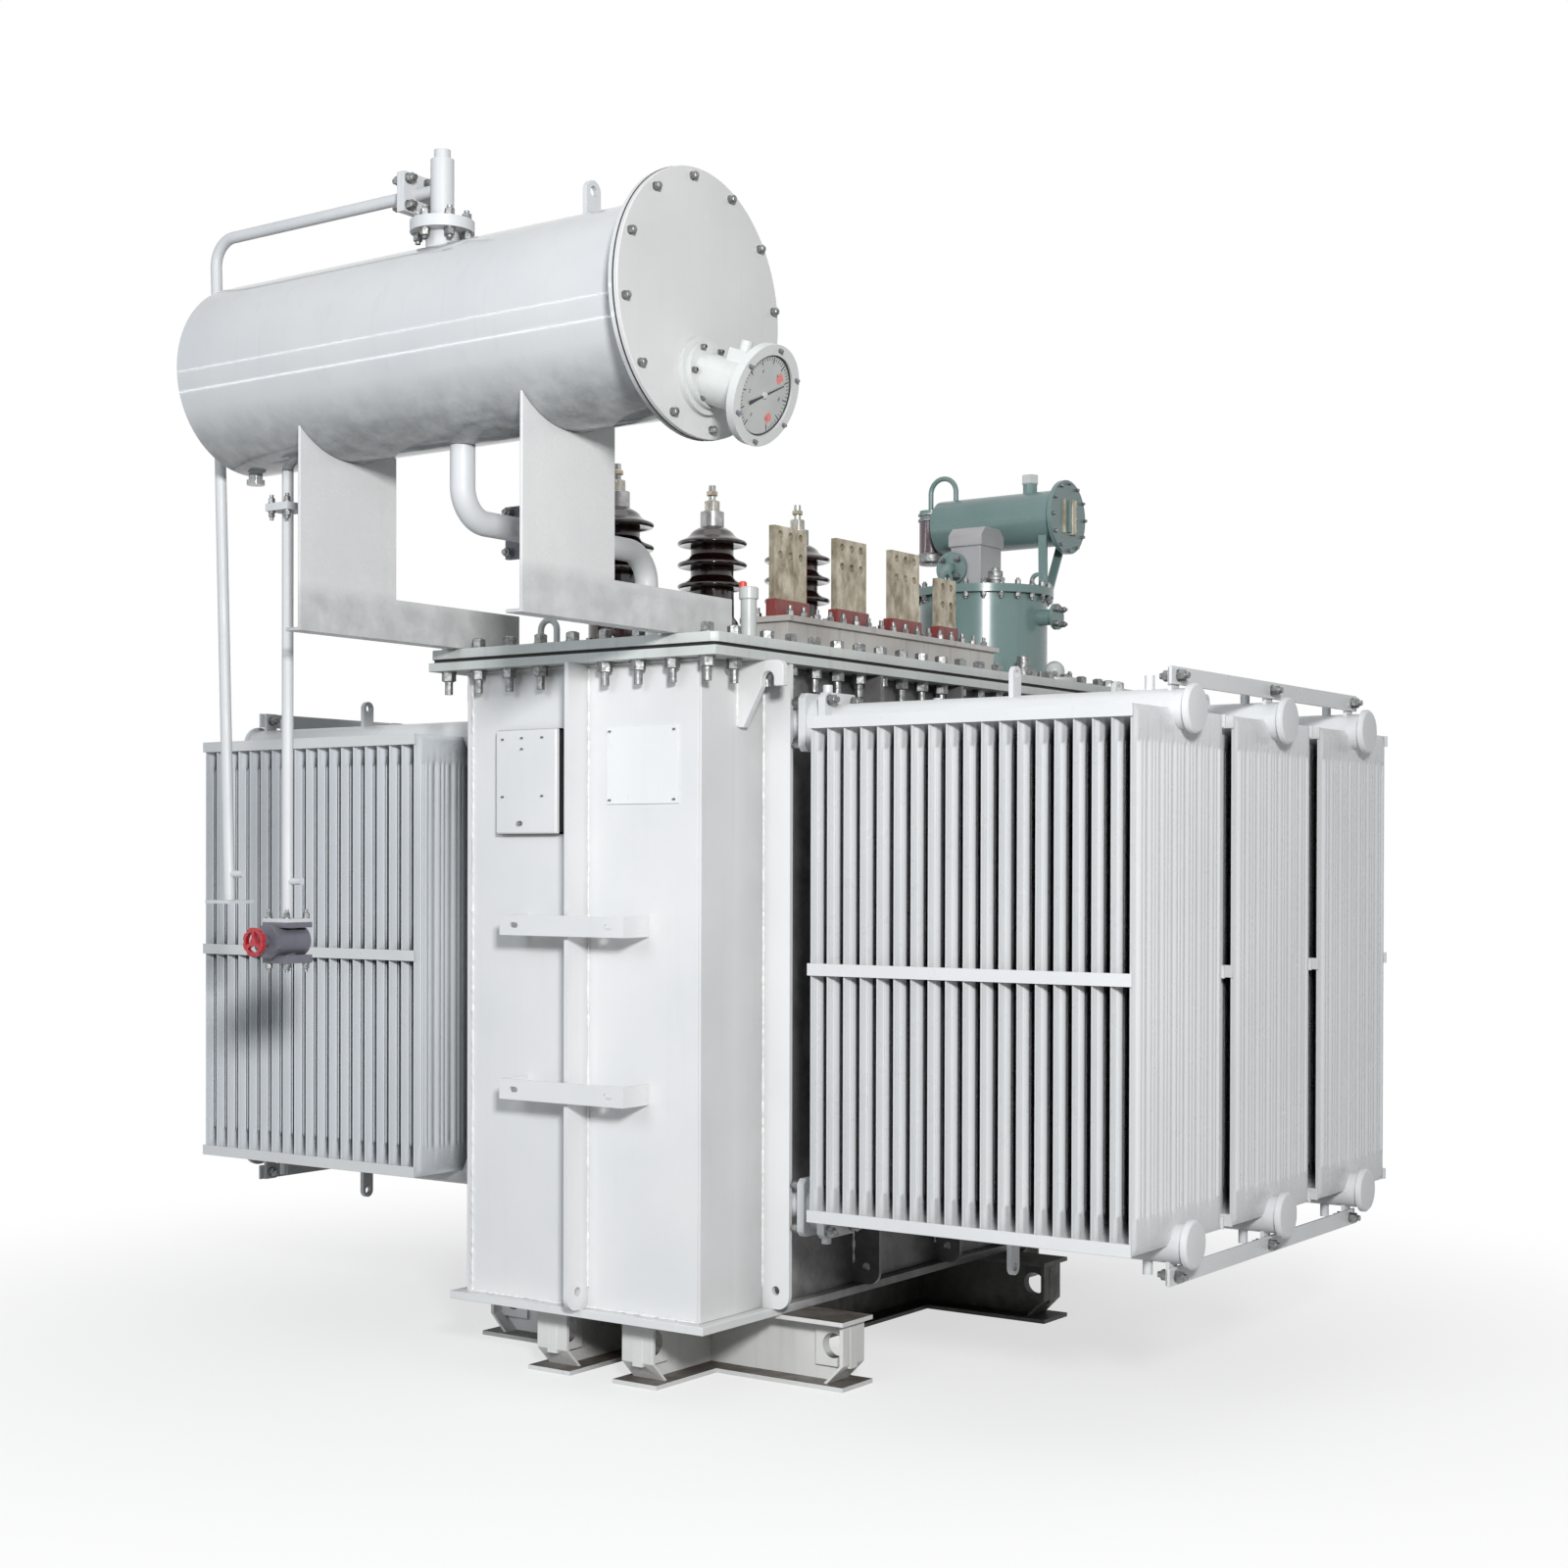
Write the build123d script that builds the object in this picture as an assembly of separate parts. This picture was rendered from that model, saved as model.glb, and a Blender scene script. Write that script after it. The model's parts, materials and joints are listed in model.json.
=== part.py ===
from build123d import *
import math
import os

# Oil-immersed power transformer: plate tank on a beam base, six panel radiators, a conservator on
# two saddles, a drain line with its valve, bushings and terminals on the cover, and a tap changer.
# Millimetres, +Z up. X runs across the tank and Y along it. While a piece is made, the outer face
# of the tank's front wall is at Y = 0 and the ground at Z = 0; save() moves the origin to the
# middle of the footprint.

# General fits
CUT_OVERRUN = 20
SEAT_GAP = 0.3

# Base beams
BEAM_HEIGHT = 168
BEAM_FLANGE_WIDTH = 136
BEAM_FLANGE_THICK = 11
BEAM_WEB_THICK = 10
BEAM_SPACING = 272
BEAM_SETBACK = 47
CROSS_BEAM_REACH = 580
CROSS_BEAM_FIRST_Y = 360
CROSS_BEAM_SPACING = 1022
BEAM_END_PLATE = 10
BEAM_END_PLATE_WIDTH = 96
BEAM_END_INSET = 12
BEAM_END_CHAMFER = 46
DOUBLER_SIZE = 102
DOUBLER_THICK = 10
TOW_HOLE_RADIUS = 31
TOW_HOLE_INSET = 62
TOW_HOLE_HEIGHT = 98

# Tank
TANK_WIDTH = 740
TANK_LENGTH = 2080
TANK_WALL = 8
TANK_WALL_HEIGHT = 1570
FLOOR_THICK = 20
FLOOR_LIP = 30
RIM_THICK = 22
GASKET_THICK = 8
GASKET_INSET = 10
COVER_THICK = 24
COVER_OVERHANG_X = 82
COVER_OVERHANG_Y = 56
COVER_CORNER_CUT = 14

# Wall stiffeners
RIB_THICK = 12
RIB_DEPTH = 78
RIB_STUB_GAP = 8
RIB_LAST_INSET = 178
RIB_COUNT = 5
RIB_END_RADIUS = 34
RIB_HOLE_RADIUS = 11
END_RIB_X = 22

# Lifting hooks
HOOK_THICK = 20
HOOK_REACH = 134
HOOK_HEIGHT = 158
HOOK_INSET_Y = 155
HOOK_TONGUE_WIDTH = 28
HOOK_TONGUE_DROP = 62
HOOK_MOUTH_RADIUS = 18
HOOK_TOE_WIDTH = 18
HOOK_CORNER_RADIUS = 20

# Front wall fittings
CABINET_X = -151
CABINET_WIDTH = 198
CABINET_HEIGHT = 258
CABINET_DEPTH = 28
CABINET_LOW_Z = 1346
CABINET_CORNER_RADIUS = 6
PLATE_X = 196
PLATE_WIDTH = 218
PLATE_HEIGHT = 186
PLATE_THICK = 4
PLATE_LOW_Z = 1416
BRACKET_WIDTH = 388
BRACKET_DEPTH = 100
BRACKET_HEIGHT = 50
BRACKET_THICK = 6
BRACKET_LOW_ZS = (695, 1097)
BRACKET_SLOT_LENGTH = 26
BRACKET_SLOT_WIDTH = 14
BRACKET_SLOT_INSET = 46

# Radiators
RADIATOR_COUNT = 3
RADIATOR_FRONT_Y = 76
RADIATOR_GAP = 52
PANEL_COUNT = 19
PANEL_PITCH = 45
PANEL_FIRST_X = 630
PANEL_WIDTH = 468
PANEL_THICK = 13
PANEL_SEAM_THICK = 3
PANEL_SEAM_WIDTH = 20
FLUTE_COUNT = 7
FLUTE_CREST_SHARE = 0.55
FLUTE_ROOT_SHARE = 0.12
HEADER_RADIUS = 45
HEADER_TOP_Z = 1614
HEADER_CENTRES = 1170
HEADER_START_X = 560
HEADER_STICKOUT = 33
HEADER_CAP_RADIUS = 55
HEADER_CAP_THICK = 14
HEADER_CAP_CROWN = 5
BAR_HEIGHT = 28
BAR_THICK = 5
EYE_RADIUS = 19
EYE_HOLE_RADIUS = 10
EYE_RISE = 94
EYE_THICK = 12
VENT_RADIUS = 11
VENT_RISE = 76
VENT_INSET = 68

# Radiator valves
STUB_RADIUS = 40
PIPE_FLANGE_SIZE = 140
PIPE_FLANGE_THICK = 20
PIPE_FLANGE_CORNER = 12
VALVE_RING_RADIUS = 62
VALVE_SPINDLE_RADIUS = 12
VALVE_SPINDLE_RISE = 92
VALVE_LENGTH = 38

# Tie bars across the radiator ends
TIE_HEIGHT = 40
TIE_THICK = 7
TIE_OVERHANG = 34
TIE_GAP = 8
TIE_LUG_THICK = 9
TIE_LUG_WIDTH = 40

# Conservator
CONSERVATOR_Y = -445
CONSERVATOR_Z = 2451
CONSERVATOR_RADIUS = 228
CONSERVATOR_WALL = 6
CONSERVATOR_LEFT_X = -686
CONSERVATOR_RIGHT_X = 688
CONSERVATOR_DISC_RADIUS = 283
CONSERVATOR_DISC_THICK = 12
CONSERVATOR_END_THICK = 8
CONSERVATOR_END_INSET = 4
CONSERVATOR_EYE_X = 401
CONSERVATOR_EYE_RADIUS = 24
CONSERVATOR_EYE_HOLE = 12
CONSERVATOR_EYE_RISE = 58
CONSERVATOR_EYE_THICK = 12
CONSERVATOR_EYE_FOOT = 30
SUMP_PLUG_X = -663
SUMP_PLUG_RADIUS = 17
SUMP_PLUG_DROP = 24
SUMP_PLUG_HEAD_RADIUS = 22

# Conservator saddles
SADDLE_X = 340
SADDLE_WIDTH = 317
SADDLE_THICK = 8
ARM_HEIGHT = 100
ARM_FLANGE = 48
ARM_THICK = 8
ARM_END_Y = 165

# Oil level gauge
GAUGE_START_Z = 2299
GAUGE_TILT = 20
GAUGE_PAD_RADIUS = 82
GAUGE_PAD_THICK = 12
GAUGE_FLANGE_RADIUS = 70
GAUGE_FLANGE_THICK = 12
GAUGE_BODY_RADIUS = 52
GAUGE_LENGTH = 179
GAUGE_FLARE_LENGTH = 30
GAUGE_BEZEL_RADIUS = 106
GAUGE_BEZEL_THICK = 20
GAUGE_DIAL_RADIUS = 84
GAUGE_DIAL_DEPTH = 7
GAUGE_BOX_SIZE = 46
GAUGE_BOX_HEIGHT = 74
GAUGE_BOX_PLACE = 92
GAUGE_GLAND_RADIUS = 13
GAUGE_GLAND_RISE = 22

# Breather riser on the conservator
RISER_X = -42
RISER_NECK_RADIUS = 38
RISER_NECK_RISE = 38
RISER_FLANGE_RADIUS = 74
RISER_FLANGE_THICK = 13
RISER_TUBE_RADIUS = 27
RISER_TUBE_HEIGHT = 142
RISER_PLUG_RADIUS = 19
RISER_PLUG_HEIGHT = 22
BRANCH_DROP = 67
BRANCH_REACH = 88
BRANCH_FLANGE_SIZE = 92
BRANCH_FLANGE_THICK = 11

# Small pipe lines
LINE_RADIUS = 14
LINE_BEND = 62
BREATHER_TOP_X = -808
BREATHER_LOW_X = -756
BREATHER_LOW_Z = 1180
BREATHER_FLANGE_SIZE = 84
BREATHER_FLANGE_THICK = 8
BREATHER_PLUG_RISE = 65
DRAIN_X = -550
DRAIN_FLANGE_Z = 2133
DRAIN_FLANGE_SIZE = 76
DRAIN_FLANGE_THICK = 9
DRAIN_LOW_Z = 1138
DRAIN_PLUG_RISE = 90
PLUG_RADIUS = 8.5
PLUG_REACH = 36

# Drain valve
VALVE_FLANGE_SIZE = 84
VALVE_FLANGE_THICK = 13
VALVE_BLANK_THICK = 7
VALVE_BODY_RADIUS = 36
VALVE_FACE_HEIGHT = 92
VALVE_BONNET_RADIUS = 42
VALVE_BONNET_SIDES = 8
VALVE_BONNET_THICK = 14
VALVE_BONNET_FRONT = 56
VALVE_BACK = 44
VALVE_GLAND_RADIUS = 13
VALVE_GLAND_LENGTH = 16
VALVE_STEM_RADIUS = 6
VALVE_STEM_DEPTH = 24
VALVE_STEM_GAP = 0.05
VALVE_NECK_RADIUS = 22

# Handwheel of the drain valve
WHEEL_RADIUS = 35
WHEEL_RIM = 10
WHEEL_THICK = 11
WHEEL_LOBES = 8
WHEEL_SCALLOP_RADIUS = 9
WHEEL_SCALLOP_DEPTH = 3
WHEEL_HUB_RADIUS = 10
WHEEL_HUB_LENGTH = 17
WHEEL_SPOKE_WIDTH = 9
WHEEL_SPOKES = 3
WHEEL_CLEARANCE = 8

# Gas relay line
RELAY_X = 22
RELAY_PIPE_RADIUS = 29
RELAY_RUN_Z = 2055
RELAY_BEND = 78
RELAY_DROP_Y = 235
RELAY_FRONT_Y = -229
RELAY_LENGTH = 190
RELAY_FLANGE_SIZE = 124
RELAY_FLANGE_THICK = 14
RELAY_BODY_SIZE = 104
RELAY_HEAD_RADIUS = 34
RELAY_DOME_RADIUS = 20
RELAY_DOME_TOP_Z = 2188
RELAY_HEAD_HEIGHT = 34

# High-voltage bushings
HV_X = -200
HV_FIRST_Y = 393
HV_SPACING = 421
HV_COUNT = 3
HV_CLAMP_RADIUS = 92
HV_CLAMP_HEIGHT = 26
HV_CORE_RADIUS = 60
HV_FOOT_RADIUS = 76
HV_FOOT_HEIGHT = 120
HV_PORCELAIN_TOP_Z = 2208
HV_SHED_RADIUS = 98
HV_SHED_TOP_Z = 2166
HV_SHED_SPACING = 60
HV_SHED_COUNT = 3
HV_SHED_LIP = 9
HV_SHED_DROOP = 22
HV_CAP_RADIUS = 33
HV_CAP_HEIGHT = 44
HV_NUT_RADIUS = 21
HV_NUT_HEIGHT = 30
HV_STUD_RADIUS = 10
HV_STUD_TOP_Z = 2326

# Low-voltage terminals
LV_X = 240
LV_BOX_WIDTH = 130
LV_BOX_FRONT_Y = 452
LV_BOX_BACK_Y = 1508
LV_BOX_HEIGHT = 75
LV_BOX_WALL = 10
LV_PLATE_THICK = 15
LV_PLATE_OVERHANG = 12
LV_CENTRES = (547, 835, 1110)
LV_NEUTRAL_Y = 1335
LV_BAR_WIDTH = 146
LV_NEUTRAL_WIDTH = 100
LV_BAR_THICK = 18
LV_BAR_HEIGHT = 188
LV_NEUTRAL_HEIGHT = 136
LV_BLOCK_HEIGHT = 48
LV_BLOCK_THICK = 32
LV_BLOCK_MARGIN = 5
LV_HOLE_RADIUS = 10
LV_HOLE_SPACING_Y = 46
LV_HOLE_SPACING_Z = 51
LV_HOLE_INSET = 22

# Small fittings on the cover
POCKET_X = 330
POCKET_Y = 247
POCKET_RADIUS = 20
POCKET_HEIGHT = 108
POCKET_CAP_RADIUS = 23
POCKET_CAP_HEIGHT = 28
LOOP_X = -151
LOOP_Y = 60
LOOP_WIDTH = 68
LOOP_HEIGHT = 78
LOOP_ROD_RADIUS = 8
VENT_CAP_X = 330
VENT_CAP_Y = 1640
VENT_CAP_RADIUS = 18
VENT_CAP_HEIGHT = 72
DOME_X = 375
DOME_Y = 1750
DOME_FLANGE_RADIUS = 66
DOME_FLANGE_THICK = 14
DOME_RADIUS = 30
DOME_NECK_HEIGHT = 22

# Tap changer
TAP_X = 100
TAP_Y = 1805
TAP_RADIUS = 195
TAP_WALL = 6
TAP_HEIGHT = 273
TAP_FLANGE_RADIUS = 214
TAP_FLANGE_THICK = 12
TAP_STUB_Z = 2016
TAP_STUB_RADIUS = 24
TAP_STUB_REACH = 62
TAP_STUB_FLANGE_RADIUS = 39
TAP_STUB_FLANGE_THICK = 11
TAP_EYE_RADIUS = 24
TAP_EYE_HOLE = 13
TAP_EYE_THICK = 10
TAP_EYE_RISE = 22
TAP_EYE_ANGLES = (5, 120, 262)
GEARBOX_X = 92
GEARBOX_Y = 1775
GEARBOX_WIDTH = 104
GEARBOX_DEPTH = 128
GEARBOX_HEIGHT = 128
GEARBOX_CAP_HEIGHT = 58
GEARBOX_CAP_OVERHANG = 6
GEARBOX_CAP_BEVEL = 24
OUTLET_X = 48
OUTLET_RISE = 62
OUTLET_DISC_RADIUS = 51
OUTLET_DISC_THICK = 13
OUTLET_PIPE_RADIUS = 17
OUTLET_REACH = 46

# Tap changer's own conservator
MINI_Y = 1978
MINI_Z = 2340
MINI_RADIUS = 86
MINI_WALL = 4
MINI_LEFT_X = -142
MINI_RIGHT_X = 286
MINI_DISC_RADIUS = 113
MINI_DISC_THICK = 14
MINI_WINDOW_WIDTH = 24
MINI_WINDOW_HEIGHT = 96
MINI_WINDOW_THICK = 9
MINI_FILLER_X = 167
MINI_FILLER_RADIUS = 22
MINI_FILLER_RISE = 50
MINI_STRAP_XS = (-36, 246)
MINI_STRAP_WIDTH = 28
MINI_STRAP_THICK = 8
MINI_STRAP_ANGLE = 42
MINI_STRAP_FOOT = 14

# Silica gel breather of the tap changer
GEL_X = -190
GEL_RADIUS = 31
GEL_LOW_Z = 2229
GEL_HEIGHT = 172
GEL_CAP_SHARE = 0.2
GEL_CAP_RADIUS = 36
GEL_PIPE_RADIUS = 8
GEL_LOOP_TOP_Z = 2500
GEL_ENTRY_X = -98

# Heights and places that follow from the sizes above
BEAM_TOP_Z = BEAM_HEIGHT
WALL_LOW_Z = BEAM_TOP_Z + FLOOR_THICK
WALL_TOP_Z = WALL_LOW_Z + TANK_WALL_HEIGHT
RIM_TOP_Z = WALL_TOP_Z + RIM_THICK
GASKET_TOP_Z = RIM_TOP_Z + GASKET_THICK
COVER_TOP_Z = GASKET_TOP_Z + COVER_THICK
HALF_WIDTH = TANK_WIDTH / 2
RADIATOR_FIRST_Y = RADIATOR_FRONT_Y + PANEL_WIDTH / 2
RADIATOR_SPACING = PANEL_WIDTH + RADIATOR_GAP
RIB_FIRST_Y = RADIATOR_FIRST_Y - STUB_RADIUS - RIB_STUB_GAP
RIB_SPACING = (TANK_LENGTH - RIB_FIRST_Y - RIB_LAST_INSET) / (RIB_COUNT - 1)
HEADER_LOW_Z = HEADER_TOP_Z - HEADER_CENTRES
PANEL_LAST_X = PANEL_FIRST_X + (PANEL_COUNT - 1) * PANEL_PITCH
HEADER_END_X = PANEL_LAST_X + HEADER_STICKOUT
TIE_X = HEADER_END_X - TIE_LUG_WIDTH
RADIATOR_YS = [RADIATOR_FIRST_Y + n * RADIATOR_SPACING for n in range(RADIATOR_COUNT)]
ARM_TOP_Z = COVER_TOP_Z + ARM_HEIGHT
ARM_FRONT_Y = CONSERVATOR_Y - SADDLE_WIDTH / 2
CONSERVATOR_LOW_Z = CONSERVATOR_Z - CONSERVATOR_RADIUS
CONSERVATOR_TOP_Z = CONSERVATOR_Z + CONSERVATOR_RADIUS
COVER_FACE_X = CONSERVATOR_RIGHT_X + CONSERVATOR_DISC_THICK
RISER_NECK_Z = CONSERVATOR_TOP_Z + RISER_NECK_RISE
RISER_FLANGE_Z = RISER_NECK_Z + 2 * RISER_FLANGE_THICK
RISER_TUBE_Z = RISER_FLANGE_Z + RISER_TUBE_HEIGHT
BRANCH_Z = RISER_TUBE_Z - BRANCH_DROP
TAP_FLANGE_Z = COVER_TOP_Z + TAP_HEIGHT
TAP_TOP_Z = TAP_FLANGE_Z + 2 * TAP_FLANGE_THICK
OUTLET_Y = GEARBOX_Y - GEARBOX_DEPTH / 2 - OUTLET_REACH
VALVE_TOP_Z = DRAIN_LOW_Z - DRAIN_FLANGE_THICK
VALVE_MID_Z = VALVE_TOP_Z - VALVE_FACE_HEIGHT / 2
VALVE_LOW_Z = VALVE_TOP_Z - VALVE_FACE_HEIGHT
FOOTPRINT_FRONT_Y = CONSERVATOR_Y - CONSERVATOR_DISC_RADIUS
FOOTPRINT_BACK_Y = TANK_LENGTH + COVER_OVERHANG_Y
ORIGIN_Y = (FOOTPRINT_FRONT_Y + FOOTPRINT_BACK_Y) / 2

# Working planes: the local axes are the two world axes in the name, and the third is the normal
SIDE_VIEW = Plane(origin=(0, 0, 0), x_dir=(0, 1, 0), z_dir=(1, 0, 0))
FRONT_VIEW = Plane(origin=(0, 0, 0), x_dir=(1, 0, 0), z_dir=(0, -1, 0))


def block(low, high):
    """Box between two corners."""
    size = [b - a for a, b in zip(low, high)]
    middle = [(a + b) / 2 for a, b in zip(low, high)]
    return Pos(*middle) * Box(*size)


def rod(start, end, radius):
    """Round bar between two points."""
    axis = Vector(*end) - Vector(*start)
    upright = Cylinder(radius, axis.length, align=(Align.CENTER, Align.CENTER, Align.MIN))
    return Plane(origin=start, z_dir=axis) * upright


def slab(points, plane, thick):
    """Flat plate with a straight-sided outline, centred on its plane."""
    face = make_face(Polyline(*points, close=True))
    return extrude(plane * face, thick / 2, both=True)


def pipe(points, bend, radius):
    """Round pipe along straight runs joined by bends."""
    path = FilletPolyline(*points, radius=bend)
    start = Plane(origin=path @ 0, z_dir=path % 0)
    return sweep(start * Circle(radius), path)


def square_flange(centre, size, thick, corner):
    """Square plate with clipped corners, flat in XY and centred on a point."""
    plate = extrude(chamfer(Rectangle(size, size).vertices(), corner), thick / 2, both=True)
    return Pos(*centre) * plate


def both_sides(piece):
    """A piece on the right of the tank and its mirror image on the left."""
    return [piece, mirror(piece, about=Plane.YZ)]


def save(name, *pieces):
    """Write one node, with its solids moved to the origin of the whole part."""
    solids = [solid for piece in pieces for solid in piece.solids()]
    export_step(Pos(0, -ORIGIN_Y, 0) * Compound(solids), os.path.join("parts", name + ".step"))


def beam_web(length):
    """Web of a base beam along local X, with both lower corners cut back."""
    half = length / 2 - BEAM_END_INSET
    low = BEAM_FLANGE_THICK
    high = BEAM_HEIGHT - BEAM_FLANGE_THICK
    shoulder = low + BEAM_END_CHAMFER
    foot = half - BEAM_END_CHAMFER
    return [(-half, high), (-half, shoulder), (-foot, low), (foot, low), (half, shoulder), (half, high)]


def end_plate_outline(length, side):
    """Bent plate that closes a beam's end: upright, then slanting in to the lower flange."""
    half = length / 2 - BEAM_END_INSET
    low = BEAM_FLANGE_THICK
    high = BEAM_HEIGHT - BEAM_FLANGE_THICK
    shoulder = low + BEAM_END_CHAMFER
    foot = half - BEAM_END_CHAMFER
    inner = half - BEAM_END_PLATE
    inner_foot = foot - BEAM_END_PLATE
    points = [(inner, high), (inner, shoulder), (inner_foot, low), (foot, low), (half, shoulder), (half, high)]
    return [(side * x, z) for x, z in points]


def flange_pair(low, high):
    """Lower and upper flange of a beam over a rectangle in plan."""
    lower = block((*low, 0), (*high, BEAM_FLANGE_THICK))
    upper = block((*low, BEAM_HEIGHT - BEAM_FLANGE_THICK), (*high, BEAM_HEIGHT))
    return lower + upper


def tow_plates(centre, axis_side):
    """Square doublers on both faces of the web round a towing hole."""
    thick = BEAM_WEB_THICK + 2 * DOUBLER_THICK
    if axis_side == "x":
        return Pos(*centre) * Box(thick, DOUBLER_SIZE, DOUBLER_SIZE)
    return Pos(*centre) * Box(DOUBLER_SIZE, thick, DOUBLER_SIZE)


def long_beams():
    """The two beams that run along the tank."""
    length = TANK_LENGTH - 2 * BEAM_SETBACK
    middle = TANK_LENGTH / 2
    plane = SIDE_VIEW.offset(0)
    body = slab(beam_web(length), plane, BEAM_WEB_THICK)
    for side in (-1, 1):
        body += slab(end_plate_outline(length, side), plane, BEAM_END_PLATE_WIDTH)
    half_flange = BEAM_FLANGE_WIDTH / 2
    body += flange_pair((-half_flange, -length / 2), (half_flange, length / 2))
    for side in (-1, 1):
        hole_y = side * (length / 2 - TOW_HOLE_INSET)
        body += tow_plates((0, hole_y, TOW_HOLE_HEIGHT), "x")
        reach = BEAM_FLANGE_WIDTH / 2
        body -= rod((-reach, hole_y, TOW_HOLE_HEIGHT), (reach, hole_y, TOW_HOLE_HEIGHT), TOW_HOLE_RADIUS)
    return both_sides(Pos(BEAM_SPACING / 2, middle, 0) * body)


def cross_beam(centre_y):
    """One beam across the tank: an outer stub on each side and a piece between the long beams."""
    length = 2 * CROSS_BEAM_REACH
    plane = FRONT_VIEW
    whole = slab(beam_web(length), plane, BEAM_WEB_THICK)
    for side in (-1, 1):
        whole += slab(end_plate_outline(length, side), plane, BEAM_END_PLATE_WIDTH)
    half_flange = BEAM_FLANGE_WIDTH / 2
    whole += flange_pair((-CROSS_BEAM_REACH, -half_flange), (CROSS_BEAM_REACH, half_flange))
    for side in (-1, 1):
        hole_x = side * (CROSS_BEAM_REACH - TOW_HOLE_INSET)
        whole += tow_plates((hole_x, 0, TOW_HOLE_HEIGHT), "y")
        reach = BEAM_FLANGE_WIDTH / 2
        whole -= rod((hole_x, -reach, TOW_HOLE_HEIGHT), (hole_x, reach, TOW_HOLE_HEIGHT), TOW_HOLE_RADIUS)
    for side in (-1, 1):
        beam_x = side * BEAM_SPACING / 2
        whole -= block(
            (beam_x - half_flange, -BEAM_FLANGE_WIDTH, 0),
            (beam_x + half_flange, BEAM_FLANGE_WIDTH, BEAM_FLANGE_THICK),
        )
        whole -= block(
            (beam_x - half_flange, -BEAM_FLANGE_WIDTH, BEAM_HEIGHT - BEAM_FLANGE_THICK),
            (beam_x + half_flange, BEAM_FLANGE_WIDTH, BEAM_HEIGHT),
        )
        half_web = BEAM_WEB_THICK / 2
        whole -= block((beam_x - half_web, -BEAM_FLANGE_WIDTH, 0), (beam_x + half_web, BEAM_FLANGE_WIDTH, BEAM_HEIGHT))
    return Pos(0, centre_y, 0) * whole


def rectangle_ring(overhang_x, overhang_y, inset, low_z, high_z):
    """Flat frame round the tank's mouth: outside past the walls, inside set back from their faces."""
    outer = block(
        (-HALF_WIDTH - overhang_x, -overhang_y, low_z),
        (HALF_WIDTH + overhang_x, TANK_LENGTH + overhang_y, high_z),
    )
    inner = block(
        (-HALF_WIDTH + inset, inset, low_z - CUT_OVERRUN),
        (HALF_WIDTH - inset, TANK_LENGTH - inset, high_z + CUT_OVERRUN),
    )
    return outer - inner


def tank_shell():
    """Floor plate, four walls, rim, gasket and cover, each its own piece."""
    floor = block(
        (-HALF_WIDTH - FLOOR_LIP, -FLOOR_LIP, BEAM_TOP_Z),
        (HALF_WIDTH + FLOOR_LIP, TANK_LENGTH + FLOOR_LIP, WALL_LOW_Z),
    )
    inner = HALF_WIDTH - TANK_WALL
    right = block((inner, 0, WALL_LOW_Z), (HALF_WIDTH, TANK_LENGTH, WALL_TOP_Z))
    left = block((-HALF_WIDTH, 0, WALL_LOW_Z), (-inner, TANK_LENGTH, WALL_TOP_Z))
    front = block((-inner, 0, WALL_LOW_Z), (inner, TANK_WALL, WALL_TOP_Z))
    rear = block((-inner, TANK_LENGTH - TANK_WALL, WALL_LOW_Z), (inner, TANK_LENGTH, WALL_TOP_Z))
    rim = rectangle_ring(COVER_OVERHANG_X, COVER_OVERHANG_Y, TANK_WALL, WALL_TOP_Z, RIM_TOP_Z)
    gasket_reach_x = COVER_OVERHANG_X - GASKET_INSET
    gasket_reach_y = COVER_OVERHANG_Y - GASKET_INSET
    gasket = rectangle_ring(gasket_reach_x, gasket_reach_y, TANK_WALL, RIM_TOP_Z, GASKET_TOP_Z)
    cover = block(
        (-HALF_WIDTH - COVER_OVERHANG_X, -COVER_OVERHANG_Y, GASKET_TOP_Z),
        (HALF_WIDTH + COVER_OVERHANG_X, TANK_LENGTH + COVER_OVERHANG_Y, COVER_TOP_Z),
    )
    cover = chamfer(cover.edges().filter_by(Axis.Z), COVER_CORNER_CUT)
    rim = chamfer(rim.edges().filter_by(Axis.Z).group_by(SortBy.DISTANCE)[-1], COVER_CORNER_CUT)
    save("tank_floor", floor)
    save("tank_end_walls", front, rear)
    save("tank_side_walls", left, right)
    save("tank_rim", rim)
    save("cover_gasket", gasket)
    save("tank_cover", cover)


def rib(plane):
    """Flat stiffener standing out along local X, with a rounded, drilled lower end."""
    face = make_face(
        Polyline((0, WALL_LOW_Z), (RIB_DEPTH, WALL_LOW_Z), (RIB_DEPTH, WALL_TOP_Z), (0, WALL_TOP_Z), close=True)
    )
    low_corner = face.vertices().sort_by(Axis.Y)[:2].sort_by(Axis.X)[-1]
    face = fillet(low_corner, RIB_END_RADIUS)
    hole_height = WALL_LOW_Z + RIB_END_RADIUS + RIB_HOLE_RADIUS
    face -= Pos(RIB_DEPTH / 2, hole_height) * Circle(RIB_HOLE_RADIUS)
    return extrude(plane * face, RIB_THICK / 2, both=True)


def wall_stiffeners():
    """Ribs along both sides and one on each end wall."""
    side = rib(FRONT_VIEW)
    ribs = []
    for n in range(RIB_COUNT):
        right = Pos(HALF_WIDTH, RIB_FIRST_Y + n * RIB_SPACING, 0) * side
        ribs += both_sides(right)
    front = Pos(END_RIB_X, 0, 0) * rib(Plane(origin=(0, 0, 0), x_dir=(0, -1, 0), z_dir=(-1, 0, 0)))
    ribs += [front, Pos(0, TANK_LENGTH, 0) * mirror(front, about=Plane.XZ)]
    save("wall_stiffeners", *ribs)


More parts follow.
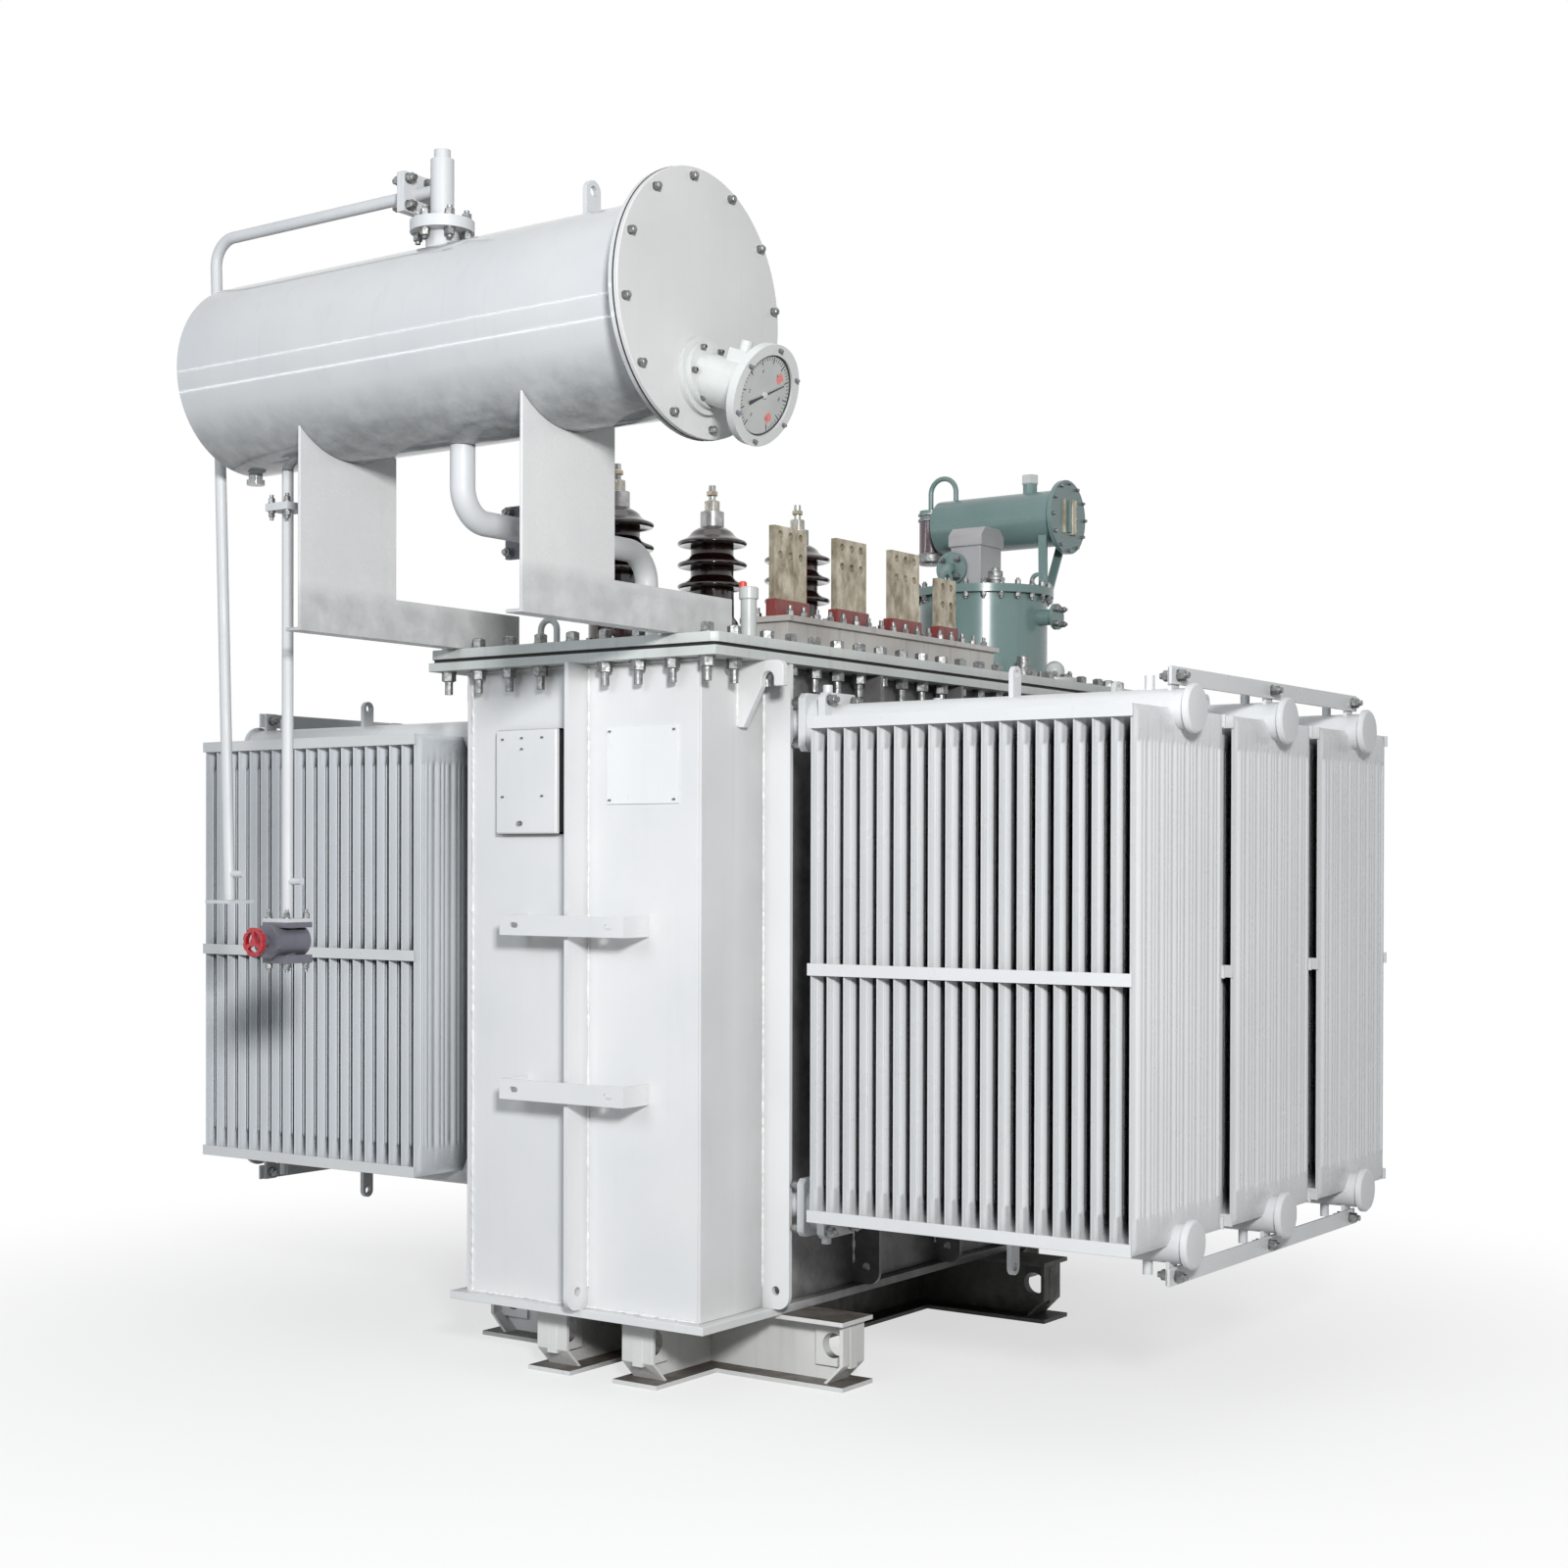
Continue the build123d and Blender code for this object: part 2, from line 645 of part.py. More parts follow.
def lifting_hooks():
    """Plates under the rim whose outer tongues keep a sling from sliding off."""
    mouth_x = HOOK_REACH - HOOK_TONGUE_WIDTH - HOOK_MOUTH_RADIUS
    mouth_top = -HOOK_TONGUE_DROP + HOOK_MOUTH_RADIUS
    inner_x = mouth_x - HOOK_MOUTH_RADIUS
    points = [
        (0, 0),
        (HOOK_REACH, 0),
        (HOOK_REACH, -HOOK_TONGUE_DROP),
        (inner_x, -HOOK_TONGUE_DROP),
        (HOOK_TOE_WIDTH, -HOOK_HEIGHT),
        (0, -HOOK_HEIGHT),
    ]
    plate = slab(points, FRONT_VIEW, HOOK_THICK)
    outer_edges = plate.edges().filter_by(Axis.Y).sort_by(Axis.X)[-2:]
    plate = fillet(outer_edges.sort_by(Axis.Z)[-1], HOOK_CORNER_RADIUS)
    half = HOOK_THICK
    plate -= rod((mouth_x, -half, mouth_top), (mouth_x, half, mouth_top), HOOK_MOUTH_RADIUS)
    plate -= block((inner_x, -half, -HOOK_HEIGHT), (mouth_x + HOOK_MOUTH_RADIUS, half, mouth_top))
    hooks = []
    for y in (HOOK_INSET_Y, TANK_LENGTH - HOOK_INSET_Y):
        hooks += both_sides(Pos(HALF_WIDTH, y, WALL_TOP_Z) * plate)
    save("lifting_hooks", *hooks)


def front_fittings():
    """Shallow cabinet, bare plate and two bow brackets on the front wall."""
    cabinet = block(
        (CABINET_X - CABINET_WIDTH / 2, -CABINET_DEPTH, CABINET_LOW_Z),
        (CABINET_X + CABINET_WIDTH / 2, 0, CABINET_LOW_Z + CABINET_HEIGHT),
    )
    cabinet = fillet(cabinet.faces().sort_by(Axis.Y)[0].edges(), CABINET_CORNER_RADIUS)
    plate = block(
        (PLATE_X - PLATE_WIDTH / 2, -PLATE_THICK, PLATE_LOW_Z),
        (PLATE_X + PLATE_WIDTH / 2, 0, PLATE_LOW_Z + PLATE_HEIGHT),
    )
    brackets = []
    for low_z in BRACKET_LOW_ZS:
        outer = block(
            (END_RIB_X - BRACKET_WIDTH / 2, -BRACKET_DEPTH, low_z),
            (END_RIB_X + BRACKET_WIDTH / 2, 0, low_z + BRACKET_HEIGHT),
        )
        inner = block(
            (END_RIB_X - BRACKET_WIDTH / 2 + BRACKET_THICK, -BRACKET_DEPTH + BRACKET_THICK, low_z - CUT_OVERRUN),
            (END_RIB_X + BRACKET_WIDTH / 2 - BRACKET_THICK, CUT_OVERRUN, low_z + BRACKET_HEIGHT + CUT_OVERRUN),
        )
        bow = outer - inner
        for side in (-1, 1):
            slot_x = END_RIB_X + side * (BRACKET_WIDTH / 2 - BRACKET_SLOT_INSET)
            slot = SlotOverall(BRACKET_SLOT_LENGTH, BRACKET_SLOT_WIDTH)
            cutter = extrude(FRONT_VIEW * slot, BRACKET_DEPTH + CUT_OVERRUN)
            bow -= Pos(slot_x, 0, low_z + BRACKET_HEIGHT / 2) * cutter
        brackets.append(bow)
    save("front_cabinet", cabinet)
    save("front_plate", plate)
    save("front_brackets", *brackets)


def flute_outline():
    """Plan outline of a pressed panel: seams at both edges and flutes that bulge on both faces."""
    half = PANEL_WIDTH / 2
    seam = PANEL_SEAM_THICK / 2
    crest = PANEL_THICK / 2
    pitch = (PANEL_WIDTH - 2 * PANEL_SEAM_WIDTH) / FLUTE_COUNT
    slope = pitch * (1 - FLUTE_CREST_SHARE - FLUTE_ROOT_SHARE) / 2
    root = pitch * FLUTE_ROOT_SHARE / 2
    face = [(-half, seam)]
    for n in range(FLUTE_COUNT):
        start = -half + PANEL_SEAM_WIDTH + n * pitch
        face.append((start + root, seam))
        face.append((start + root + slope, crest))
        face.append((start + pitch - root - slope, crest))
        face.append((start + pitch - root, seam))
    face.append((half, seam))
    return face + [(y, -x) for y, x in reversed(face)]


def plain_outline():
    """Plan outline of an inner panel, which only shows its edges: seams and one broad body."""
    half = PANEL_WIDTH / 2
    seam = PANEL_SEAM_THICK / 2
    crest = PANEL_THICK / 2
    inner = half - PANEL_SEAM_WIDTH
    face = [(-half, seam), (-inner, crest), (inner, crest), (half, seam)]
    return face + [(y, -x) for y, x in reversed(face)]


def panel(outline):
    """Radiator panel between the header axes, notched at both ends where the headers pass."""
    plan = make_face(Polyline(*[(x, y) for y, x in outline], close=True))
    body = Pos(0, 0, HEADER_LOW_Z) * extrude(plan, HEADER_CENTRES)
    reach = HEADER_RADIUS + SEAT_GAP
    wide = reach / math.cos(math.radians(30))
    narrow = reach * math.tan(math.radians(30))
    for axis_z, side in ((HEADER_TOP_Z, -1), (HEADER_LOW_Z, 1)):
        notch = [(-wide, axis_z), (-narrow, axis_z + side * reach), (narrow, axis_z + side * reach), (wide, axis_z)]
        body -= slab(notch, SIDE_VIEW, PANEL_THICK + CUT_OVERRUN)
    return body


def header(axis_z, outward):
    """Round header along X with its flange, end cap, lifting eye, vent plug and tie-bar lug."""
    tube = rod((HEADER_START_X, 0, axis_z), (HEADER_END_X, 0, axis_z), HEADER_RADIUS)
    cap = Cylinder(HEADER_CAP_RADIUS, HEADER_CAP_THICK, align=(Align.CENTER, Align.CENTER, Align.MIN))
    cap = chamfer(cap.faces().sort_by(Axis.Z)[-1].edges(), HEADER_CAP_CROWN)
    tube += Plane(origin=(HEADER_END_X, 0, axis_z), z_dir=(1, 0, 0)) * cap
    flange = square_flange((0, 0, 0), PIPE_FLANGE_SIZE, PIPE_FLANGE_THICK, PIPE_FLANGE_CORNER)
    flange_x = HEADER_START_X - PIPE_FLANGE_THICK / 2
    tube += Plane(origin=(flange_x, 0, axis_z), z_dir=(1, 0, 0)) * flange
    eye_x = (PANEL_FIRST_X + PANEL_LAST_X) / 2
    eye_z = axis_z + outward * EYE_RISE
    half = EYE_THICK / 2
    eye = rod((eye_x - half, 0, eye_z), (eye_x + half, 0, eye_z), EYE_RADIUS)
    eye += Pos(eye_x, 0, (axis_z + eye_z) / 2) * Box(EYE_THICK, 2 * EYE_RADIUS, EYE_RISE)
    eye -= rod((eye_x - EYE_THICK, 0, eye_z), (eye_x + EYE_THICK, 0, eye_z), EYE_HOLE_RADIUS)
    tube += eye
    vent_x = PANEL_LAST_X - VENT_INSET
    tube += rod((vent_x, 0, axis_z), (vent_x, 0, axis_z + outward * VENT_RISE), VENT_RADIUS)
    lug_rise = HEADER_RADIUS + TIE_GAP + TIE_HEIGHT
    tube += Pos(TIE_X - TIE_LUG_THICK / 2, 0, axis_z + outward * lug_rise / 2) * Box(
        TIE_LUG_THICK, TIE_LUG_WIDTH, lug_rise
    )
    return tube


def panel_bars():
    """Flat bars welded across the panel edges, front and back, at three heights."""
    low_x = PANEL_FIRST_X - PANEL_THICK / 2
    high_x = PANEL_LAST_X + PANEL_THICK / 2
    middle_z = (HEADER_TOP_Z + HEADER_LOW_Z) / 2
    low_zs = (HEADER_LOW_Z, middle_z - BAR_HEIGHT / 2, HEADER_TOP_Z - BAR_HEIGHT)
    bars = []
    for low_z in low_zs:
        for side in (-1, 1):
            edge = side * PANEL_WIDTH / 2
            outer = edge + side * BAR_THICK
            low_y = min(edge, outer)
            high_y = max(edge, outer)
            bars.append(block((low_x, low_y, low_z), (high_x, high_y, low_z + BAR_HEIGHT)))
    return bars


def radiators():
    """Three radiators on each side: a node of panels for each, and one of headers and bars for each side."""
    fluted = panel(flute_outline())
    plain = panel(plain_outline())
    panels = []
    for n in range(PANEL_COUNT):
        outermost = n in (0, PANEL_COUNT - 1)
        panels.append(Pos(PANEL_FIRST_X + n * PANEL_PITCH, 0, 0) * (fluted if outermost else plain))
    frame = [header(HEADER_TOP_Z, 1), header(HEADER_LOW_Z, -1), *panel_bars()]
    mirrored = [[mirror(piece, about=Plane.YZ) for piece in group] for group in (panels, frame)]
    for name, (side_panels, side_frame) in (("right", (panels, frame)), ("left", mirrored)):
        for n, y in enumerate(RADIATOR_YS):
            save("radiator_" + name + "_" + str(n + 1), *[Pos(0, y, 0) * piece for piece in side_panels])
        save("radiator_headers_" + name, *[Pos(0, y, 0) * piece for y in RADIATOR_YS for piece in side_frame])


def radiator_valves():
    """Stub, flange and butterfly valve between the tank wall and each header's flange."""
    end_x = HEADER_START_X - PIPE_FLANGE_THICK
    ring_x = end_x - VALVE_LENGTH
    flange_x = ring_x - PIPE_FLANGE_THICK
    solids = []
    for axis_z, outward in ((HEADER_TOP_Z, 1), (HEADER_LOW_Z, -1)):
        valve = rod((HALF_WIDTH, 0, axis_z), (ring_x, 0, axis_z), STUB_RADIUS)
        flange = square_flange((0, 0, 0), PIPE_FLANGE_SIZE, PIPE_FLANGE_THICK, PIPE_FLANGE_CORNER)
        valve += Plane(origin=((flange_x + ring_x) / 2, 0, axis_z), z_dir=(1, 0, 0)) * flange
        valve += rod((ring_x, 0, axis_z), (end_x, 0, axis_z), VALVE_RING_RADIUS)
        spindle_x = (ring_x + end_x) / 2
        spindle_z = axis_z + outward * VALVE_SPINDLE_RISE
        valve += rod((spindle_x, 0, axis_z), (spindle_x, 0, spindle_z), VALVE_SPINDLE_RADIUS)
        solids += [Pos(0, y, 0) * valve for y in RADIATOR_YS]
    save("radiator_valves", *[piece for solid in solids for piece in both_sides(solid)])


def tie_bars():
    """Flat bars bolted to the lugs on the outer header ends, top and bottom, on both sides."""
    low_y = RADIATOR_YS[0] - TIE_OVERHANG
    high_y = RADIATOR_YS[-1] + TIE_OVERHANG
    inner = HEADER_RADIUS + TIE_GAP
    outer = inner + TIE_HEIGHT
    top = block((TIE_X, low_y, HEADER_TOP_Z + inner), (TIE_X + TIE_THICK, high_y, HEADER_TOP_Z + outer))
    bottom = block((TIE_X, low_y, HEADER_LOW_Z - outer), (TIE_X + TIE_THICK, high_y, HEADER_LOW_Z - inner))
    save("radiator_tie_bars", *both_sides(top), *both_sides(bottom))


def conservator():
    """Oil barrel along X: tube with a flange ring, its two ends and what is welded to it."""
    axis_y = CONSERVATOR_Y
    axis_z = CONSERVATOR_Z
    outer = rod((CONSERVATOR_LEFT_X, axis_y, axis_z), (CONSERVATOR_RIGHT_X, axis_y, axis_z), CONSERVATOR_RADIUS)
    ring_start = CONSERVATOR_RIGHT_X - CONSERVATOR_DISC_THICK
    ring = rod((ring_start, axis_y, axis_z), (CONSERVATOR_RIGHT_X, axis_y, axis_z), CONSERVATOR_DISC_RADIUS)
    eye_z = CONSERVATOR_TOP_Z + CONSERVATOR_EYE_RISE
    half = CONSERVATOR_EYE_THICK / 2
    eye_low = (CONSERVATOR_EYE_X - half, axis_y - CONSERVATOR_EYE_RADIUS, CONSERVATOR_TOP_Z - CONSERVATOR_EYE_FOOT)
    eye_high = (CONSERVATOR_EYE_X + half, axis_y + CONSERVATOR_EYE_RADIUS, eye_z)
    eye = block(eye_low, eye_high)
    eye += rod((eye_low[0], axis_y, eye_z), (eye_high[0], axis_y, eye_z), CONSERVATOR_EYE_RADIUS)
    eye -= rod(
        (CONSERVATOR_EYE_X - CUT_OVERRUN, axis_y, eye_z),
        (CONSERVATOR_EYE_X + CUT_OVERRUN, axis_y, eye_z),
        CONSERVATOR_EYE_HOLE,
    )
    plug_low = CONSERVATOR_LOW_Z - SUMP_PLUG_DROP
    plug = rod((SUMP_PLUG_X, axis_y, CONSERVATOR_Z), (SUMP_PLUG_X, axis_y, plug_low), SUMP_PLUG_RADIUS)
    plug_mid = (CONSERVATOR_LOW_Z + plug_low) / 2
    plug += rod((SUMP_PLUG_X, axis_y, plug_low), (SUMP_PLUG_X, axis_y, plug_mid), SUMP_PLUG_HEAD_RADIUS)
    hollow = rod(
        (CONSERVATOR_LEFT_X - CUT_OVERRUN, axis_y, axis_z),
        (CONSERVATOR_RIGHT_X + CUT_OVERRUN, axis_y, axis_z),
        CONSERVATOR_RADIUS - CONSERVATOR_WALL,
    )
    barrel = outer + ring + eye + plug - hollow
    end_x = CONSERVATOR_LEFT_X + CONSERVATOR_END_INSET
    end = rod(
        (end_x, axis_y, axis_z),
        (end_x + CONSERVATOR_END_THICK, axis_y, axis_z),
        CONSERVATOR_RADIUS - CONSERVATOR_WALL - SEAT_GAP,
    )
    cover = rod((CONSERVATOR_RIGHT_X, axis_y, axis_z), (COVER_FACE_X, axis_y, axis_z), CONSERVATOR_DISC_RADIUS)
    save("conservator_barrel", barrel)
    save("conservator_blind_end", end)
    save("conservator_end_cover", cover)


def saddles():
    """Two plates cupped under the barrel, each on a channel arm that lies on the tank cover."""
    seat = CONSERVATOR_RADIUS + SEAT_GAP
    half_seat = SADDLE_WIDTH / 2
    tip_z = CONSERVATOR_Z - math.sqrt(seat**2 - half_seat**2)
    back_y = CONSERVATOR_Y + half_seat
    outline = Polyline(
        (ARM_FRONT_Y, tip_z),
        (ARM_FRONT_Y, COVER_TOP_Z),
        (ARM_END_Y, COVER_TOP_Z),
        (ARM_END_Y, ARM_TOP_Z),
        (back_y, ARM_TOP_Z),
        (back_y, tip_z),
    )
    cup = ThreePointArc((back_y, tip_z), (CONSERVATOR_Y, CONSERVATOR_Z - seat), (ARM_FRONT_Y, tip_z))
    web = extrude(SIDE_VIEW * make_face([*outline.edges(), *cup.edges()]), -SADDLE_THICK)
    lower = block((-ARM_FLANGE, ARM_FRONT_Y, COVER_TOP_Z), (0, ARM_END_Y, COVER_TOP_Z + ARM_THICK))
    upper = block((-ARM_FLANGE, back_y, ARM_TOP_Z - ARM_THICK), (0, ARM_END_Y, ARM_TOP_Z))
    saddle = web + lower + upper
    save("conservator_saddles", Pos(-SADDLE_X, 0, 0) * saddle, Pos(SADDLE_X, 0, 0) * saddle)


def level_gauge():
    """Dial gauge on the end cover, turned down towards a reader on the ground."""
    axis_y = CONSERVATOR_Y
    pad_end = COVER_FACE_X + GAUGE_PAD_THICK
    flange_end = pad_end + GAUGE_FLANGE_THICK
    gauge = rod((COVER_FACE_X, axis_y, GAUGE_START_Z), (pad_end, axis_y, GAUGE_START_Z), GAUGE_PAD_RADIUS)
    gauge += rod((pad_end, axis_y, GAUGE_START_Z), (flange_end, axis_y, GAUGE_START_Z), GAUGE_FLANGE_RADIUS)
    bezel_start = GAUGE_LENGTH - GAUGE_BEZEL_THICK
    flare_start = bezel_start - GAUGE_FLARE_LENGTH
    profile = Polyline(
        (0, 0),
        (GAUGE_BODY_RADIUS, 0),
        (GAUGE_BODY_RADIUS, flare_start),
        (GAUGE_DIAL_RADIUS, bezel_start),
        (GAUGE_BEZEL_RADIUS, bezel_start),
        (GAUGE_BEZEL_RADIUS, GAUGE_LENGTH),
        (GAUGE_DIAL_RADIUS, GAUGE_LENGTH),
        (GAUGE_DIAL_RADIUS, GAUGE_LENGTH - GAUGE_DIAL_DEPTH),
        (0, GAUGE_LENGTH - GAUGE_DIAL_DEPTH),
        close=True,
    )
    body = revolve(Plane.XZ * make_face(profile), Axis.Z)
    box_top = GAUGE_BOX_HEIGHT + GAUGE_GLAND_RISE
    body += Pos(-GAUGE_BOX_HEIGHT / 2, 0, GAUGE_BOX_PLACE) * Box(GAUGE_BOX_HEIGHT, GAUGE_BOX_SIZE, GAUGE_BOX_SIZE)
    body += rod((-GAUGE_BOX_HEIGHT, 0, GAUGE_BOX_PLACE), (-box_top, 0, GAUGE_BOX_PLACE), GAUGE_GLAND_RADIUS)
    tilt = math.radians(GAUGE_TILT)
    aim = Plane(
        origin=(COVER_FACE_X, axis_y, GAUGE_START_Z),
        x_dir=(-math.sin(tilt), 0, -math.cos(tilt)),
        z_dir=(math.cos(tilt), 0, -math.sin(tilt)),
    )
    past = 2 * GAUGE_LENGTH
    front = block(
        (COVER_FACE_X, axis_y - past, GAUGE_START_Z - past),
        (COVER_FACE_X + past, axis_y + past, GAUGE_START_Z + past),
    )
    save("oil_level_gauge", gauge + ((aim * body) & front))


def riser():
    """Neck on top of the barrel with a bolted tube, and a side branch for the breather line."""
    plug_z = RISER_TUBE_Z + RISER_PLUG_HEIGHT
    axis = (RISER_X, CONSERVATOR_Y)
    neck = rod((*axis, CONSERVATOR_Z), (*axis, RISER_NECK_Z), RISER_NECK_RADIUS)
    piece = neck + rod((*axis, RISER_NECK_Z), (*axis, RISER_FLANGE_Z), RISER_FLANGE_RADIUS)
    piece += rod((*axis, RISER_FLANGE_Z), (*axis, RISER_TUBE_Z), RISER_TUBE_RADIUS)
    piece += rod((*axis, RISER_TUBE_Z), (*axis, plug_z), RISER_PLUG_RADIUS)
    branch_x = RISER_X - BRANCH_REACH
    piece += rod((RISER_X, CONSERVATOR_Y, BRANCH_Z), (branch_x, CONSERVATOR_Y, BRANCH_Z), LINE_RADIUS)
    flange = square_flange((0, 0, 0), BRANCH_FLANGE_SIZE, BRANCH_FLANGE_THICK, SEAT_GAP)
    face = Plane(origin=(branch_x + BRANCH_FLANGE_THICK / 2, CONSERVATOR_Y, BRANCH_Z), z_dir=(1, 0, 0))
    piece += face * flange
    left = CONSERVATOR_LEFT_X
    right = CONSERVATOR_RIGHT_X
    room = CONSERVATOR_RADIUS + SEAT_GAP
    piece -= rod((left, CONSERVATOR_Y, CONSERVATOR_Z), (right, CONSERVATOR_Y, CONSERVATOR_Z), room)
    save("breather_riser", piece)


def side_plug(x, z):
    """Short plugged stub on the side of a pipe line."""
    end_x = x + LINE_RADIUS + PLUG_REACH
    return rod((x, CONSERVATOR_Y, z), (end_x, CONSERVATOR_Y, z), PLUG_RADIUS)


def breather_line():
    """Pipe from the riser's branch along the barrel and down to a flange for the dryer."""
    start_x = RISER_X - BRANCH_REACH
    points = [
        (start_x, CONSERVATOR_Y, BRANCH_Z),
        (BREATHER_TOP_X, CONSERVATOR_Y, BRANCH_Z),
        (BREATHER_LOW_X, CONSERVATOR_Y, BREATHER_LOW_Z),
    ]
    line = pipe(points, LINE_BEND, LINE_RADIUS)
    flange = square_flange((0, 0, 0), BRANCH_FLANGE_SIZE, BRANCH_FLANGE_THICK, SEAT_GAP)
    line += Plane(origin=(start_x - BRANCH_FLANGE_THICK / 2, CONSERVATOR_Y, BRANCH_Z), z_dir=(1, 0, 0)) * flange
    foot_z = BREATHER_LOW_Z - BREATHER_FLANGE_THICK / 2
    line += square_flange(
        (BREATHER_LOW_X, CONSERVATOR_Y, foot_z), BREATHER_FLANGE_SIZE, BREATHER_FLANGE_THICK, SEAT_GAP
    )
    line += side_plug(BREATHER_LOW_X, BREATHER_LOW_Z + BREATHER_PLUG_RISE)
    return line


def drain_line():
    """Drain pipe from the barrel's underside, in two lengths with a flange pair between them."""
    axis = (DRAIN_X, CONSERVATOR_Y)
    upper = rod((*axis, CONSERVATOR_Z), (*axis, DRAIN_FLANGE_Z), LINE_RADIUS)
    upper += square_flange(
        (*axis, DRAIN_FLANGE_Z + DRAIN_FLANGE_THICK / 2), DRAIN_FLANGE_SIZE, DRAIN_FLANGE_THICK, SEAT_GAP
    )
    left = (CONSERVATOR_LEFT_X, CONSERVATOR_Y, CONSERVATOR_Z)
    right = (CONSERVATOR_RIGHT_X, CONSERVATOR_Y, CONSERVATOR_Z)
    upper -= rod(left, right, CONSERVATOR_RADIUS + SEAT_GAP)
    lower = rod((*axis, DRAIN_FLANGE_Z), (*axis, DRAIN_LOW_Z), LINE_RADIUS)
    lower += square_flange(
        (*axis, DRAIN_FLANGE_Z - DRAIN_FLANGE_THICK / 2), DRAIN_FLANGE_SIZE, DRAIN_FLANGE_THICK, SEAT_GAP
    )
    lower += square_flange(
        (*axis, DRAIN_LOW_Z - DRAIN_FLANGE_THICK / 2), VALVE_FLANGE_SIZE, DRAIN_FLANGE_THICK, SEAT_GAP
    )
    lower += side_plug(DRAIN_X, DRAIN_LOW_Z + DRAIN_PLUG_RISE)
    return upper + lower


def drain_valve():
    """Flanged gate valve with its bonnet to the front and a blank plate below."""
    axis = (DRAIN_X, CONSERVATOR_Y)
    half = VALVE_FLANGE_THICK / 2
    body = square_flange((*axis, VALVE_TOP_Z - half), VALVE_FLANGE_SIZE, VALVE_FLANGE_THICK, SEAT_GAP)
    body += square_flange((*axis, VALVE_LOW_Z + half), VALVE_FLANGE_SIZE, VALVE_FLANGE_THICK, SEAT_GAP)
    body += square_flange(
        (*axis, VALVE_LOW_Z - VALVE_BLANK_THICK / 2), VALVE_FLANGE_SIZE, VALVE_BLANK_THICK, SEAT_GAP
    )
    front_y = CONSERVATOR_Y - VALVE_BONNET_FRONT
    back_y = CONSERVATOR_Y + VALVE_BACK
    body += rod((DRAIN_X, front_y, VALVE_MID_Z), (DRAIN_X, back_y, VALVE_MID_Z), VALVE_BODY_RADIUS)
    body += rod((*axis, VALVE_LOW_Z), (*axis, VALVE_TOP_Z), VALVE_NECK_RADIUS)
    bonnet = Rot(0, 0, 180 / VALVE_BONNET_SIDES) * RegularPolygon(VALVE_BONNET_RADIUS, VALVE_BONNET_SIDES)
    placed = Plane(origin=(DRAIN_X, front_y, VALVE_MID_Z), x_dir=(1, 0, 0), z_dir=(0, -1, 0))
    body += extrude(placed * bonnet, VALVE_BONNET_THICK)
    gland_start = front_y - VALVE_BONNET_THICK
    gland_end = gland_start - VALVE_GLAND_LENGTH
    body += rod((DRAIN_X, gland_start, VALVE_MID_Z), (DRAIN_X, gland_end, VALVE_MID_Z), VALVE_GLAND_RADIUS)
    bore = VALVE_STEM_RADIUS + VALVE_STEM_GAP
    bore_end = gland_end + VALVE_STEM_DEPTH + SEAT_GAP
    body -= rod((DRAIN_X, gland_end - CUT_OVERRUN, VALVE_MID_Z), (DRAIN_X, bore_end, VALVE_MID_Z), bore)
    save("drain_valve", body)
    return gland_end


def handwheel(gland_end):
    """Lobed wheel with three spokes on the valve's stem."""
    outer = Circle(WHEEL_RADIUS)
    for n in range(WHEEL_LOBES):
        turn = math.radians(360 * n / WHEEL_LOBES)
        reach = WHEEL_RADIUS + WHEEL_SCALLOP_RADIUS - WHEEL_SCALLOP_DEPTH
        outer -= Pos(reach * math.cos(turn), reach * math.sin(turn)) * Circle(WHEEL_SCALLOP_RADIUS)
    ring = outer - Circle(WHEEL_RADIUS - WHEEL_RIM)
    arm = (WHEEL_RADIUS - WHEEL_RIM / 2)
    for n in range(WHEEL_SPOKES):
        ring += Rot(0, 0, 90 + 360 * n / WHEEL_SPOKES) * (Pos(arm / 2, 0) * Rectangle(arm, WHEEL_SPOKE_WIDTH))
    wheel = extrude(ring, WHEEL_THICK)
    wheel += Pos(0, 0, WHEEL_THICK - WHEEL_HUB_LENGTH) * Cylinder(
        WHEEL_HUB_RADIUS, WHEEL_HUB_LENGTH, align=(Align.CENTER, Align.CENTER, Align.MIN)
    )
    back = gland_end - WHEEL_CLEARANCE - WHEEL_HUB_LENGTH + WHEEL_THICK
    placed = Plane(origin=(DRAIN_X, back, VALVE_MID_Z), x_dir=(1, 0, 0), z_dir=(0, -1, 0))
    wheel = placed * wheel
    stem_end = gland_end + VALVE_STEM_DEPTH
    wheel += rod((DRAIN_X, back, VALVE_MID_Z), (DRAIN_X, stem_end, VALVE_MID_Z), VALVE_STEM_RADIUS)
    save("drain_handwheel", wheel)


